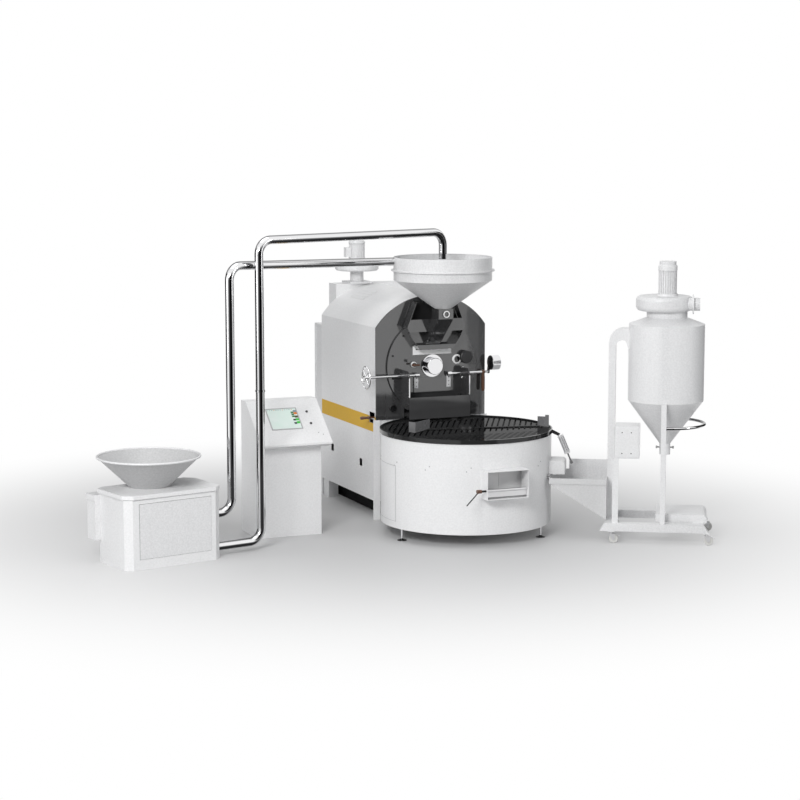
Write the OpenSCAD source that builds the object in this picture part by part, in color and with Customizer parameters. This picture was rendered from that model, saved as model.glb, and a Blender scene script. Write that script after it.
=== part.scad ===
// Coffee roasting plant: roaster, cooling tray, control cabinet, loader with its pipes, and destoner.
// Z is up. The origin is on the floor under the middle of the plant, and -Y is the side where the operator stands.

/* [Layout] */
// Distance from the plant's middle to the roaster's centre line
roaster_x = 690; // [600:10:900]
// Distance from the plant's middle back to the roaster's front
roaster_y = 280; // [200:10:500]
// Distance from the plant's middle to the loader's left end
loader_x = -2600; // [-2900:10:-2400]
// Place of the loader's front corner in depth
loader_y = -1020; // [-1150:10:-800]
// Turn of the loader
loader_turn = 12.5; // [5:0.5:20]
// Turn of the destoner, whose chute points at the tray
destoner_turn = -30.5; // [-45:0.5:-20]
// Gap between the roaster and the control cabinet
cabinet_gap = 700; // [400:10:1000]

/* [Roaster body] */
// Width across the side panels
body_w = 1110; // [1000:10:1300]
// Depth of the body
body_d = 1400; // [1200:10:1800]
// Height of the panels' lower edge
foot_h = 170; // [120:5:220]
// Height of the drum's axis
drum_z = 1425; // [1400:5:1460]
// Radius of the arched roof
arch_r = 676; // [670:2:720]
// Thickness of the panels
body_sheet = 4; // [2:0.5:6]
// Height of the colour stripe's lower edge
stripe_z = 820; // [760:5:840]
// Height of the colour stripe
stripe_h = 142; // [100:2:160]
// Depth of the housing behind the body
rear_d = 200; // [150:5:300]

/* [Front] */
// Thickness of the front plate
plate_t = 12; // [8:1:20]
// Height of the front plate's lower edge
plate_foot = 936; // [920:2:960]
// Radius of the round face plate over the drum's mouth
face_r = 450; // [440:2:470]
// Thickness of the round face plate
face_t = 22; // [14:1:30]
// Radius of the bolt circle on the face plate
face_bolt_r = 408; // [400:2:420]
// Number of bolts on the face plate
face_bolt_n = 12; // [6:1:16]
// Radius of the drum
drum_r = 380; // [300:5:400]
// Radius of the drum's shaft
shaft_r = 30; // [20:1:38]

/* [Discharge] */
// Width of the discharge door
door_w = 370; // [300:5:400]
// Height of the discharge door
door_h = 145; // [120:1:150]
// Height of the door's shaft below the drum's axis
door_drop = 80; // [70:1:95]
// Radius of the door's shaft
rod_r = 12; // [8:0.5:14]
// Radius of the handwheel
wheel_r = 108; // [80:1:130]
// Width of the chute box over the tray
chute_w = 616; // [560:4:630]
// Depth of the chute box, measured from the front plate's back
chute_d = 225; // [205:1:230]
// Height of the chute box's rim
chute_top = 1157; // [1120:1:1170]

/* [Feed] */
// Radius of the feed hopper
hopper_r = 452; // [400:2:500]
// Height of the feed hopper's rim
hopper_rim = 2453; // [2400:5:2600]
// Height of the hopper's straight wall
hopper_wall = 210; // [150:5:260]
// Radius of the hopper's outlet
hopper_out = 78; // [60:1:95]
// Distance from the roaster's front to the hopper's axis
hopper_y = -280; // [-300:2:-260]
// Outer radius of the two transport pipes
pipe_r = 38; // [30:1:45]
// Wall of the transport pipes
pipe_wall = 2; // [1.5:0.5:4]
// Radius of the pipes' bends, on their centre line
bend_r = 120; // [90:5:150]
// Height of the feed pipe's top run
feed_run_z = 2680; // [2620:5:2800]
// Height of the return pipe's top run at its riser
return_run_z = 2470; // [2440:5:2490]

/* [Cooling tray] */
// Radius of the tray's wall
tray_r = 770; // [760:1:776]
// Height of the tray's rim
tray_top = 950; // [946:1:952]
// Height of the tray wall's lower edge
tray_foot = 112; // [90:2:140]
// Distance from the roaster's front to the tray's centre
tray_y = -800; // [-806:1:-796]
// Height of the polished band
band_h = 38; // [30:1:50]
// Number of feet
foot_n = 3; // [3:1:6]
// Height of the agitator's paddles
paddle_h = 85; // [60:1:88]
// Width of the window box
window_w = 396; // [340:2:440]
// Height of the window box
window_h = 250; // [220:2:280]

/* [Cabinet] */
// Width of the cabinet's body
cabinet_w = 607; // [500:5:650]
// Depth of the cabinet's body
cabinet_d = 431; // [380:1:460]
// Height of the cabinet's body
cabinet_h = 800; // [700:5:820]
// Height of the console's flat top
desk_top = 1195; // [1150:5:1250]
// Width that the console reaches past the body on the right
desk_over = 65; // [20:1:80]

/* [Loader] */
// Length of the loader's body
loader_w = 904; // [850:2:1000]
// Depth of the loader's body
loader_d = 537; // [500:1:600]
// Height of the loader's body
loader_h = 592; // [560:2:650]
// Radius of the loading dish
dish_r = 434; // [380:2:450]
// Height of the loading dish
dish_h = 263; // [240:1:320]

/* [Destoner] */
// Radius of the cyclone
cyclone_r = 334; // [320:1:345]
// Height of the cyclone's straight wall
cyclone_wall = 678; // [600:2:760]
// Height of the edge where the cyclone's cone starts
cyclone_z = 1232; // [1200:1:1260]
// Radius of the cyclone's spout
spout_r = 48; // [40:1:56]
// Radius of the castor wheels
castor_r = 40; // [36:1:44]
// Height of the castors
castor_h = 109; // [104:1:116]
// Length of the destoner's base
base_w = 950; // [920:2:1000]
// Depth of the destoner's base
base_d = 740; // [730:2:780]

/* [Hidden] */
round_fn = 96;
// Overrun of every cut
cut = 2;
// Gap between seated pieces whose faces are curved, or that move on each other
seat = 0.3;
// Radial play of a shaft in its bore
play = 0.05;
white = [0.9, 0.9, 0.9];
graphite = [0.2, 0.2, 0.21];
steel = [0.75, 0.76, 0.78];
wood = [0.35, 0.2, 0.12];

half_w = body_w / 2;
arch_drop = 16;
arch_z = drum_z - arch_drop;
roof_z = arch_z + arch_r;

// Frame of the roaster
post_w = 65;
post_out = 22;
post_lip = 40;
rail_w = 60;
rail_h = 48;
leg_w = 100;
leg_d = 132;
leg_back = 33;
// Holes in the panels
vent = 70;
vent_front_y = 370;
vent_front_z = 486;
vent_rear_y = 1118;
vent_rear_z = 519;
slot_y = 16;
slot_d = 132;
slot_z = 900;
slot_h = 100;
lever_in = 150;
lever_out = 118;
lever_r = 16;
lever_neck = 20;
lever_pin = 7;
lever_waist_share = 0.7;
shelf_t = 8;
shelf_reach = 46;
louvre_n = 3;
louvre_pitch = 42;
louvre_w = 16;
louvre_l = 150;
louvre_y = 900;
louvre_x = -270;
stripe_t = 2;
// Housing behind the body
rear_shelf = 1700;
rear_step = 155;
rear_top = 2090;
rear_right = 400;
rear_inset = 25;
rear_inset_t = 6;
rear_inset_z = 760;
shaft_tail = 60;

// Face of the roaster
face_y = -plate_t - face_t;
mouth_w = 330;
mouth_h = 108;
mouth_z = 1200;
bearing_r = 105;
bearing_flange_t = 14;
bearing_neck_r = 62;
bearing_cap_r = 78;
bearing_cap_t = 26;
bearing_l = 84;
bearing_edge = 4;
trier_x = -190;
trier_up = 18;
trier_r = 11;
trier_l = 220;
sleeve_r = 20;
sleeve_l = 34;
trier_bar_r = 9;
trier_bar_l = 78;
trier_neck = 30;
knob_x = -252;
knob_up = 55;
knob_r = 14;
knob_l = 40;
glass_x = 252;
glass_up = 49;
glass_ring = 46;
glass_r = 31;
glass_t = 16;
port_x = -389;
port_z = 1041;
port_ring = 35;
port_r = 26;
pane_t = 5;
cover_x = -455;
cover_w = 165;
cover_h = 249;
cover_t = 5;
lamp_x = 332;
lamp_up = 69;
lamp_r = 60;
lamp_l = 62;
lamp_edge = 6;
lamp_foot = 30;
lamp_off = 20;
bolt_r = 9;
bolt_h = 8;
feed_mouth_w = 140;
feed_mouth_h = 68;
feed_mouth_z = 1617;
// Drum
drum_y = 40;
drum_back = 120;
drum_sheet = 6;
drum_lip = 120;
spoke_w = 40;
spoke_t = 12;
spoke_n = 3;
spoke_in = 300;
vane_n = 6;
vane_h = 60;

// Discharge door
door_axis_y = face_y - 32;
door_axis_z = drum_z - door_drop;
door_t = 9;
door_top_gap = 26;
strap_w = 40;
strap_t = 7;
strap_knuckle = 21;
rod_in = 150;
arm_x = 560;
arm_t = 13;
arm_w = 34;
arm_lean = 14;
weight_up = 89;
weight_r = 70;
weight_l = 88;
weight_edge = 6;
grip_x = 513;
grip_r = 17;
grip_l = 180;
grip_hook = 12;
grip_waist_share = 0.72;
hand_x = -674;
hand_rim = 9;
hand_hub_r = 20;
hand_hub_l = 44;
hand_spoke_r = 7;
hand_spoke_n = 4;
hand_spoke_turn = 45;
// Chute box with its cheeks
chute_sheet = 5;
chute_lift = 956;
notch_top = 1046;
notch_back = -86;
cheek_x = 300;
cheek_t = 8;
cheek_d = 217;
cheek_top = 1400;
cheek_r = 60;
chute_slope = 60;

// Feed chute
hood_top_w = 400;
hood_top = 2033;
hood_mid_w = 584;
hood_mid = 1799;
hood_low_w = 492;
hood_low = 1698;
hood_foot_w = 340;
hood_foot = 1591;
hood_front = -140;
hood_sheet = 5;
band_z = 1755;
band_front_h = 115;
bar_z = 1591;
bar_h = 40;
duct_w = 150;
duct_sheet = 5;
duct_low = 1612;
bracket_w = 390;
bracket_z = 1532;
bracket_bar = 43;
bracket_side = 28;
bracket_h = 79;
bracket_t = 6;
// Throat and its gate
throat_w = 146;
throat_d = 150;
throat_h = 95;
throat_sheet = 5;
gate_t = 4;
gate_up = 17;
gate_w = 130;
gate_neck = 12;
ring_r = 27;
ring_tube = 5;
// Feed hopper
hopper_sheet = 3;
hopper_sink = 104;
hopper_ring_z = 126;
hopper_ring_w = 22;
hopper_ring_h = 12;
bead_r = 5;

// Roof fan
fan_x = -150;
fan_y = 1480;
fan_base = 230;
fan_base_h = 20;
fan_neck_r = 66;
fan_neck_h = 105;
fan_r = 216;
fan_h = 69;
fan_edge = 24;
fan_out_w = 90;
fan_out_l = 60;
motor_r = 82;
motor_h = 226;
fin_n = 24;
fin_t = 3;
fin_depth = 10;
motor_foot = 12;
motor_cap = 26;
box_w = 60;
box_h = 96;
box_d = 44;
box_z = 66;

// Cooling tray
tray_sheet = 3;
band_out = 8;
ledge_w = 20;
ledge_t = 6;
rim_in = 4;
floor_t = 4;
floor_drop = 12;
floor_gap = 0.5;
slot_w = 15;
slot_pitch = 57;
slot_turn = 62;
slot_low = -246;
slot_high = 500;
slot_edge = 52;
slot_n = 18;
slot_rim = 62;
dash_l = 42;
dash_w = 13;
dash_pitch = 66;
dash_row = 40;
dash_top = -392;
dash_rows = 8;
dash_n = 11;
hub_r = 70;
hub_h = 24;
arm_low = 2;
arm_flat = 8;
arm_wide = 56;
arm_lap = 20;
agitator_shaft = 25;
agitator_drop = 130;
bearing_tube = 45;
paddle_t = 6;
paddle_in = [-330, 62];
paddle_fold = [-530, -78];
paddle_out = [-564, -16];
rim_paddle_in = [646, -150];
rim_paddle_out = [726, -218];
hook_l = 34;
hook_h = 16;
foot_inset = 50;
foot_angle = 194;
stem_r = 10;
disc_r = 42;
disc_h = 9;
nut_r = 19;
nut_h = 12;
link_w = 260;
link_in = 30;
// Window box in the tray's wall
window_z = 441;
window_out = 115;
window_sheet = 4;
window_lip = 10;
flap_z = 79;
flap_in = 30;
flap_r = 13;
flap_t = 3;
flap_h = 44;
flap_knob_r = 17;
flap_knob_l = 42;
knob_reach = 66;
pin_r = 5;
pin_len = 165;
pin_lean = 45;
stub_r = 9;
// Outlet towards the destoner
outlet_in = 14;
outlet_l = 130;
outlet_w = 260;
outlet_z = 560;
outlet_h = 118;
outlet_sheet = 4;
outlet_edge = 26;
cylinder_r = 26;
cylinder_x = 80;
cylinder_z = 895;
cylinder_lean = 23;
cylinder_l = 175;
cylinder_end = 18;
rod_slim = 7;
rod_tip = 276;
rod_travel = 50;
clevis = 24;
arm_thick = 16;
arm_back = 14;

// Cabinet
cabinet_x = -half_w - cabinet_gap - cabinet_w;
desk_flat = 130;
desk_reach = 119;
desk_lip = 16;
desk_lip_z = 852;
screen_w = 292;
screen_d = 257;
screen_t = 6;
screen_x = 152;
screen_y = 108;
bezel = 8;
button_r = 11;
button_h = 9;
button_x = 534;
button_y = [163, 306];
button_stem = 14;
button_edge = 2.5;
button_hole = 20;

// Loader
loader_corner_x = 60;
loader_corner_y = 50;
lid_h = 34;
lid_over = 12;
lid_gap = 4;
panel_x = 121;
loader_side = 105;
panel_z = 90;
panel_h = 463;
panel_t = 4;
screw_r = 7;
screw_h = 3;
screw_in = 16;
dish_x = 408;
dish_y = 360;
dish_foot_r = 170;
dish_sheet = 3;
dish_bead = 9;
duct_x = 50;
duct_len = 90;
duct_out = 73;
duct_z = 195;
duct_h = 385;
cap_h = 50;
cap_out = 8;
// Pipes, in the loader's frame
feed_riser_x = 1370;
riser_y = 125;
return_y = 185;
feed_low_z = 84;
return_riser_x = 1112;
return_low_z = 358;
return_in = [368, 164];
return_drop = 42;
feed_dip = 20;
clamp_z = 1380;
clamp_r = 12;
joint_gap = 0.5;
sleeve_in = 4;
sleeve_t = 1.5;
pipe_sleeve = 24;

// Destoner, whose origin is its front left castor
outlet_y = 366;
base_chamfer = 45;
base_left = 100;
base_front = 25;
base_h = 68;
rail = 100;
cover_left = 385;
cover_len = 450;
cover_front = 105;
cover_depth = 480;
cover_high = 70;
cover_round = 45;
cyclone_x = 455;
cyclone_y = 360;
cyclone_sheet = 3;
post_x = 422;
post_size = 45;
post_deep = 26;
lug_h = 8;
lug_in = 24;
leg_x = 5;
leg_size = 52;
leg_deep = 40;
box_left = 23;
box_wide = 215;
box_deep = 230;
box_low = 753;
box_high = 288;
box_door_t = 4;
box_door_in = 12;
intake_left = -556;
intake_right = -50;
intake_front = 100;
intake_depth = 530;
intake_rim = 547;
intake_lip = 50;
intake_low = 187;
intake_sheet = 4;
intake_back = 93;
intake_step = 150;
lip_out = 8;
riser_left = -50;
riser_w = 62;
riser_d = 150;
riser_top = 1868;
riser_bend = 130;
riser_mouth = 175;
riser_crotch = 110;
neck_r = 179;
neck_low = 1968;
neck_top = 2027;
spout_end = 744;
spout_top = 843;
volute_r = 250;
volute_h = 132;
volute_edge = 40;
volute_x = -25;
volute_side = -90;
flange_x = 233;
flange_t = 12;
flange_size = 171;
stub_out_r = 57;
stub_out_l = 53;
blower_r = 84;
blower_base = 19;
blower_base_r = 110;
blower_h = 204;
blower_cap = 81;
valve_z = 807;
valve_r = 6;
valve_l = 160;
valve_t = 4;
valve_gap = 0.5;
valve_end = 14;
hoop_r = 347;
hoop_tube = 13;
hoop_z = 1022;
// Castors
castor_right = 830;
castor_rear = 690;
wheel_w = 24;
axle_r = 5;
fork_t = 4;
fork_gap = 2;
fork_plate = 60;
fork_w = 34;
trail = 22;
swivel_r = 10;
plate_h = 5;

// Places that follow from the sizes above
lever_z = slot_z + slot_h / 2;
shelf_z = lever_z - lever_r / 2 - seat;
hopper_flange_z = hopper_rim - hopper_ring_z;
hopper_cone = hopper_rim - hopper_wall;
hopper_foot = roof_z - hopper_sink;
throat_foot = hopper_foot - throat_h;
drum_l = body_d - drum_y - drum_back;
foot_circle = tray_r - foot_inset;
gate_z = throat_foot + gate_up;
floor_z = tray_top - floor_drop;
arm_z = floor_z + arm_low;
wall_top = floor_z - floor_t - ledge_t;
slot_r = tray_r - slot_rim;
rim_paddle_turn = atan2(rim_paddle_out[1] - rim_paddle_in[1], rim_paddle_out[0] - rim_paddle_in[0]);
window_face = tray_r + window_out;
flap_axis_y = -window_face + flap_in;
destoner_away = tray_r + seat - intake_left;
base_top = castor_h + base_h;
post_front = cyclone_y - cyclone_r - seat - post_deep;
post_back = cyclone_y + cyclone_r + seat;
hoop_a = acos((post_x + post_size + seat - cyclone_x) / hoop_r);
desk_rise = desk_top - desk_lip_z;
desk_run = cabinet_d + desk_reach - desk_flat;
desk_tilt = atan2(desk_rise, desk_run);

function polar(r, a) = [r * cos(a), r * sin(a)];
function turned(p, a) = [p[0] * cos(a) - p[1] * sin(a), p[0] * sin(a) + p[1] * cos(a)];
function arc(c, r, a0, a1, n) = [for (i = [0:n]) c + polar(r, a0 + (a1 - a0) * i / n)];
function unit(v) = v / norm(v);

// The roaster's front at the floor is this place's origin
module at_roaster() translate([roaster_x, roaster_y, 0]) children();
module at_tray() at_roaster() translate([0, tray_y, 0]) children();
module at_outlet() at_tray() rotate(destoner_turn) translate([tray_r, 0, 0]) children();
module at_destoner() at_tray() rotate(destoner_turn) translate([destoner_away, -outlet_y, 0]) children();
module at_cabinet() at_roaster() translate([cabinet_x, 0, 0]) children();
module at_loader() translate([loader_x, loader_y, 0]) rotate(loader_turn) children();

// An outline in X and Z, as deep as d behind y0
module upright(y0, d) translate([0, y0 + d, 0]) rotate([90, 0, 0]) linear_extrude(d) children();
// An outline in Y and Z, as long as l from x0
module across(x0, l) translate([x0, 0, 0]) rotate([90, 0, 90]) linear_extrude(l) children();
module rod_x(r, l) rotate([0, 90, 0]) cylinder(r = r, h = l, $fn = round_fn);
module rod_y(r, l) rotate([-90, 0, 0]) cylinder(r = r, h = l, $fn = round_fn);
module rod_z(r, l) cylinder(r = r, h = l, $fn = round_fn);
module turned_y() rotate([-90, 0, 0]) rotate_extrude($fn = round_fn) children();
module turned_z() rotate_extrude($fn = round_fn) children();
module rounded(w, h, r) {
    square([w - r, h]);
    square([w, h - r]);
    translate([w - r, h - r]) circle(r, $fn = round_fn);
}

// Children's X axis along a, and their Y axis as near b as a right angle allows
module oriented(p, a, b) {
    x = unit(a);
    z = unit(cross(a, b));
    y = cross(z, x);
    multmatrix([[x[0], y[0], z[0], p[0]], [x[1], y[1], z[1], p[1]], [x[2], y[2], z[2], p[2]], [0, 0, 0, 1]])
        children();
}

function bend_angle(p, i) = acos(unit(p[i] - p[i - 1]) * unit(p[i + 1] - p[i]));
function setback(p, i, r) = (i == 0 || i == len(p) - 1) ? 0 : r * tan(bend_angle(p, i) / 2);

module pipe_section(r, wall) difference() {
    circle(r, $fn = 48);
    if (wall > 0) circle(r - wall, $fn = 48);
}

// Part of a pipe along direction u, from p
module pipe_piece(p, u, l, r, wall) oriented(p, u, abs(u[2]) > 0.9 ? [1, 0, 0] : [0, 0, 1]) rotate([0, 90, 0])
    linear_extrude(l) pipe_section(r, wall);

// A pipe of straight runs and bends, which short sleeves join
module pipe(p, r, wall, bend) {
    last = len(p) - 1;
    for (i = [0:last - 1]) {
        u = unit(p[i + 1] - p[i]);
        start = i > 0 ? setback(p, i, bend) + joint_gap : 0;
        end = i < last - 1 ? setback(p, i + 1, bend) + joint_gap : 0;
        pipe_piece(p[i] + u * start, u, norm(p[i + 1] - p[i]) - start - end, r, wall);
        if (i > 0) pipe_piece(p[i] + u * (start - joint_gap - sleeve_in), u, pipe_sleeve, r + sleeve_t,
            sleeve_t + wall / 2);
        if (i < last - 1) pipe_piece(p[i + 1] - u * (end - joint_gap - sleeve_in), -u, pipe_sleeve, r + sleeve_t,
            sleeve_t + wall / 2);
    }
    for (i = [1:last - 1]) {
        u = unit(p[i] - p[i - 1]);
        v = unit(p[i + 1] - p[i]);
        n = unit(v - (u * v) * u);
        oriented(p[i] - u * setback(p, i, bend) + n * bend, -n, u)
            rotate_extrude(angle = bend_angle(p, i), $fn = round_fn) translate([bend, 0]) pipe_section(r, wall);
    }
}

// The body's end view: straight sides under a round roof
module arch(inset, foot) {
    w = body_w - 2 * inset;
    translate([-w / 2, foot]) square([w, arch_z - foot]);
    intersection() {
        translate([0, arch_z]) circle(arch_r - inset, $fn = 180);
        translate([-w / 2, arch_z]) square([w, arch_r]);
    }
}

// Posts at the front, legs at the back and the rails that the panels hang on
module roaster_frame() color(white) at_roaster() {
    inner = half_w - body_sheet;
    for (s = [-1, 1]) {
        translate([s > 0 ? half_w + post_out - post_w : -half_w - post_out, -plate_t, 0])
            cube([post_w, plate_t, plate_foot]);
        translate([s > 0 ? inner - post_lip : -inner, 0, 0]) cube([post_lip, post_lip, plate_foot]);
        translate([s > 0 ? inner - leg_w : -inner, body_d - leg_back - leg_d, 0]) cube([leg_w, leg_d, foot_h]);
        translate([s > 0 ? inner - rail_w : -inner, 0, foot_h]) cube([rail_w, body_d - body_sheet, rail_h]);
    }
    for (y = [0, body_d - body_sheet - rail_w]) translate([-inner, y, foot_h]) cube([2 * inner, rail_w, rail_h]);
    translate([post_lip - inner, 0, foot_h + rail_h])
        cube([2 * (inner - post_lip), body_sheet, plate_foot - foot_h - rail_h]);
    translate([-inner, 0, shelf_z - shelf_t]) cube([lever_in + shelf_reach, slot_y + slot_d, shelf_t]);
    translate([-half_w + lever_in, slot_y + slot_d / 2, shelf_z - shelf_t])
        rod_z(lever_pin, shelf_t + lever_r + 2 * seat);
    difference() {
        translate([-link_w / 2, tray_y + tray_r - link_in, foot_h]) cube([link_w, -tray_y - tray_r + link_in, rail_h]);
        translate([0, tray_y, 0]) rod_z(tray_r + seat, tray_top);
    }
}

// Folded casing, open at the front and below
module roaster_shell() color(white) at_roaster() difference() {
    upright(0, body_d) arch(0, foot_h);
    upright(-cut, body_d - body_sheet + cut) arch(body_sheet, foot_h - cut);
    for (v = [[vent_front_y, vent_front_z], [vent_rear_y, vent_rear_z]])
        translate([-half_w - cut, v[0] - vent / 2, v[1] - vent / 2]) cube([body_sheet + 2 * cut, vent, vent]);
    translate([-half_w - cut, slot_y, slot_z]) cube([body_sheet + 2 * cut, slot_d, slot_h]);
    for (i = [0:louvre_n - 1]) translate([louvre_x - i * louvre_pitch, louvre_y, arch_z])
        cube([louvre_w, louvre_l, arch_r]);
    translate([0, body_d - body_sheet - cut, drum_z]) rod_y(shaft_r + body_sheet, body_sheet + 2 * cut);
}

// Coloured trim along both sides
module side_stripes() color("goldenrod") at_roaster() difference() {
    for (x = [-half_w - stripe_t, half_w]) translate([x, 0, stripe_z]) cube([stripe_t, body_d, stripe_h]);
    translate([-half_w - stripe_t - cut, slot_y, slot_z]) cube([stripe_t + 2 * cut, slot_d, slot_h]);
}

// Front plate with the raised round face over the drum's mouth
module front_plate() color(graphite) at_roaster() {
    difference() {
        union() {
            upright(-plate_t, plate_t) arch(0, plate_foot);
            translate([0, face_y, drum_z]) rod_y(face_r, face_t);
            translate([cover_x, -plate_t - cover_t, plate_foot]) cube([cover_w, cover_t, cover_h]);
            translate([knob_x, face_y - knob_l, drum_z + knob_up]) rod_y(knob_r, knob_l);
            translate([trier_x, face_y - sleeve_l, drum_z + trier_up]) rod_y(sleeve_r, sleeve_l);
        }
        translate([-mouth_w / 2, face_y - cut, mouth_z]) cube([mouth_w, plate_t + face_t + 2 * cut, mouth_h]);
        translate([-feed_mouth_w / 2, face_y - cut, feed_mouth_z])
            cube([feed_mouth_w, plate_t + face_t + 2 * cut, feed_mouth_h]);
        translate([0, face_y - cut, drum_z]) rod_y(shaft_r + bearing_edge, plate_t + face_t + 2 * cut);
        translate([trier_x, face_y - sleeve_l - cut, drum_z + trier_up])
            rod_y(trier_r + play, sleeve_l + plate_t + face_t + 2 * cut);
        translate([glass_x, face_y - cut, drum_z + glass_up]) rod_y(glass_r, plate_t + face_t + 2 * cut);
        translate([port_x, face_y, port_z]) rod_y(port_r, plate_t + face_t + cut);
    }
}

module face_bolts() color(graphite) at_roaster() for (i = [0:face_bolt_n - 1]) {
    p = polar(face_bolt_r, (i + 0.5) * 360 / face_bolt_n);
    translate([p[0], face_y - bolt_h, drum_z + p[1]]) rotate([-90, 0, 0]) cylinder(r = bolt_r, h = bolt_h, $fn = 6);
}

// Housing behind the body, with the exhaust's shelf on the left
module rear_housing() color(white) at_roaster() difference() {
    upright(body_d, rear_d) polygon([[-half_w, 0], [-half_w, rear_shelf], [-half_w + rear_step, rear_shelf],
        [-half_w + rear_step, rear_top], [rear_right, rear_top], [rear_right, 0]]);
    translate([-half_w - cut, body_d + rear_inset, rear_inset_z])
        cube([rear_inset_t + cut, rear_d - 2 * rear_inset, rear_shelf - rear_inset_z - rear_inset]);
    translate([0, body_d - cut, drum_z]) rod_y(shaft_r + play, shaft_tail + cut + seat);
}

// Polished cap over the drum's front bearing
module front_bearing() color(steel) at_roaster() translate([0, face_y, drum_z]) difference() {
    rotate([180, 0, 0]) turned_y() polygon([[0, 0], [bearing_r, 0], [bearing_r, bearing_flange_t],
        [bearing_neck_r, bearing_flange_t], [bearing_neck_r, bearing_l - bearing_cap_t],
        [bearing_cap_r, bearing_l - bearing_cap_t], [bearing_cap_r, bearing_l - bearing_edge],
        [bearing_cap_r - bearing_edge, bearing_l], [0, bearing_l]]);
    translate([0, -bearing_l + bearing_cap_t, 0]) rod_y(shaft_r + play, bearing_l);
}

// Roasting drum with its shaft, spokes and lifting vanes
module drum() color("dimgray") at_roaster() translate([0, 0, drum_z]) {
    translate([0, drum_y, 0]) difference() {
        rod_y(drum_r, drum_l);
        translate([0, drum_sheet, 0]) rod_y(drum_r - drum_sheet, drum_l - 2 * drum_sheet);
        translate([0, -cut, 0]) rod_y(drum_r - drum_lip, drum_sheet + 2 * cut);
    }
    for (i = [0:spoke_n - 1]) rotate([0, i * 360 / spoke_n, 0])
        translate([-spoke_w / 2, drum_y + spoke_in, 0]) cube([spoke_w, spoke_t, drum_r - drum_sheet / 2]);
    for (i = [0:vane_n - 1]) rotate([0, i * 360 / vane_n, 0])
        translate([-drum_sheet / 2, drum_y + drum_sheet / 2, drum_r - drum_sheet / 2 - vane_h])
            cube([drum_sheet, drum_l - drum_sheet, vane_h]);
    y0 = face_y - bearing_l + bearing_cap_t + seat;
    translate([0, y0, 0]) rod_y(shaft_r, body_d + shaft_tail - y0);
}

// Hopper on the throat, open above
module feed_hopper() color(white) at_roaster() difference() {
    translate([0, hopper_y, 0]) turned_z() union() {
        polygon([[hopper_out, hopper_foot], [hopper_r, hopper_cone], [hopper_r, hopper_rim],
            [hopper_r - hopper_sheet, hopper_rim], [hopper_r - hopper_sheet, hopper_cone + hopper_sheet],
            [hopper_out - hopper_sheet, hopper_foot + hopper_sheet], [hopper_out - hopper_sheet, hopper_foot]]);
        translate([hopper_r - hopper_sheet, hopper_flange_z])
            square([hopper_ring_w + hopper_sheet, hopper_ring_h]);
        translate([hopper_r - bead_r, hopper_rim - bead_r]) square([bead_r, bead_r]);
    }
    pipe_piece(return_path()[3], unit(return_path()[2] - return_path()[3]), hopper_r, pipe_r + seat, 0);
}

module throat_box() color(graphite) at_roaster() difference() {
    translate([-throat_w / 2, hopper_y - throat_d / 2, throat_foot]) cube([throat_w, throat_d, throat_h]);
    translate([-throat_w / 2 + throat_sheet, hopper_y - throat_d / 2 + throat_sheet, throat_foot - cut])
        cube([throat_w - 2 * throat_sheet, throat_d - 2 * throat_sheet, throat_h - throat_sheet + cut]);
    translate([0, hopper_y, throat_foot]) rod_z(hopper_out - throat_sheet - hopper_sheet, throat_h + cut);
    translate([-gate_w / 2 - seat, hopper_y - throat_d / 2 - cut, gate_z - seat])
        cube([gate_w + 2 * seat, throat_d / 2 + cut, gate_t + 2 * seat]);
}

// Gate slide with its pull ring
module hopper_gate() color(steel) at_roaster() {
    front = hopper_y - throat_d / 2;
    translate([-gate_w / 2, front, gate_z]) cube([gate_w, throat_d - throat_sheet - seat, gate_t]);
    translate([-ring_r / 2, front - gate_neck, gate_z]) cube([ring_r, gate_neck + ring_tube, gate_t]);
    translate([0, front - gate_neck - ring_tube / 2, gate_z + gate_t / 2 + ring_r]) rotate([90, 0, 0])
        rotate_extrude($fn = 64) translate([ring_r, 0]) circle(ring_tube, $fn = 24);
}

function hood_half(inset, over) = [[hood_top_w / 2 - inset, hood_top + over], [hood_mid_w / 2 - inset, hood_mid],
    [hood_low_w / 2 - inset, hood_low], [hood_foot_w / 2 - inset, hood_foot - over]];
function mirrored(p) = [for (i = [len(p) - 1:-1:0]) [-p[i][0], p[i][1]]];

// Open hood on the face, with the sloping duct that comes down from the throat
module feed_chute() color(graphite) at_roaster() difference() {
    depth = face_y - hood_front;
    top_y = hopper_y - throat_d / 2;
    union() {
        difference() {
            upright(hood_front, depth) polygon(concat(hood_half(0, 0), mirrored(hood_half(0, 0))));
            upright(hood_front - cut, depth + 2 * cut)
                polygon(concat(hood_half(hood_sheet, cut), mirrored(hood_half(hood_sheet, cut))));
        }
        for (b = [[band_z, band_front_h, hood_sheet], [bar_z, bar_h, bar_h / 2]]) upright(hood_front, b[2])
            intersection() {
                polygon(concat(hood_half(0, 0), mirrored(hood_half(0, 0))));
                translate([-hood_mid_w, b[0]]) square([2 * hood_mid_w, b[1]]);
            }
        across(-duct_w / 2, duct_w) polygon([[top_y, throat_foot], [top_y + throat_d, throat_foot],
            [face_y, duct_low + band_front_h], [face_y, duct_low]]);
    }
    translate([-bracket_w / 2, face_y - bracket_t - seat, bracket_z])
        cube([bracket_w, bracket_t + seat + cut, bracket_h + seat]);
    across(-duct_w / 2 + duct_sheet, duct_w - 2 * duct_sheet) polygon([
        [top_y + duct_sheet, throat_foot + cut], [top_y + throat_d - duct_sheet, throat_foot + cut],
        [face_y + cut, duct_low + band_front_h - duct_sheet], [face_y + cut, duct_low + duct_sheet]]);
}

module chute_bracket() color(white) at_roaster() upright(face_y - bracket_t, bracket_t) {
    translate([-bracket_w / 2, bracket_z]) square([bracket_w, bracket_bar]);
    for (x = [-bracket_w / 2, bracket_w / 2 - bracket_side]) translate([x, bracket_z])
        square([bracket_side, bracket_h]);
}

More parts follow.
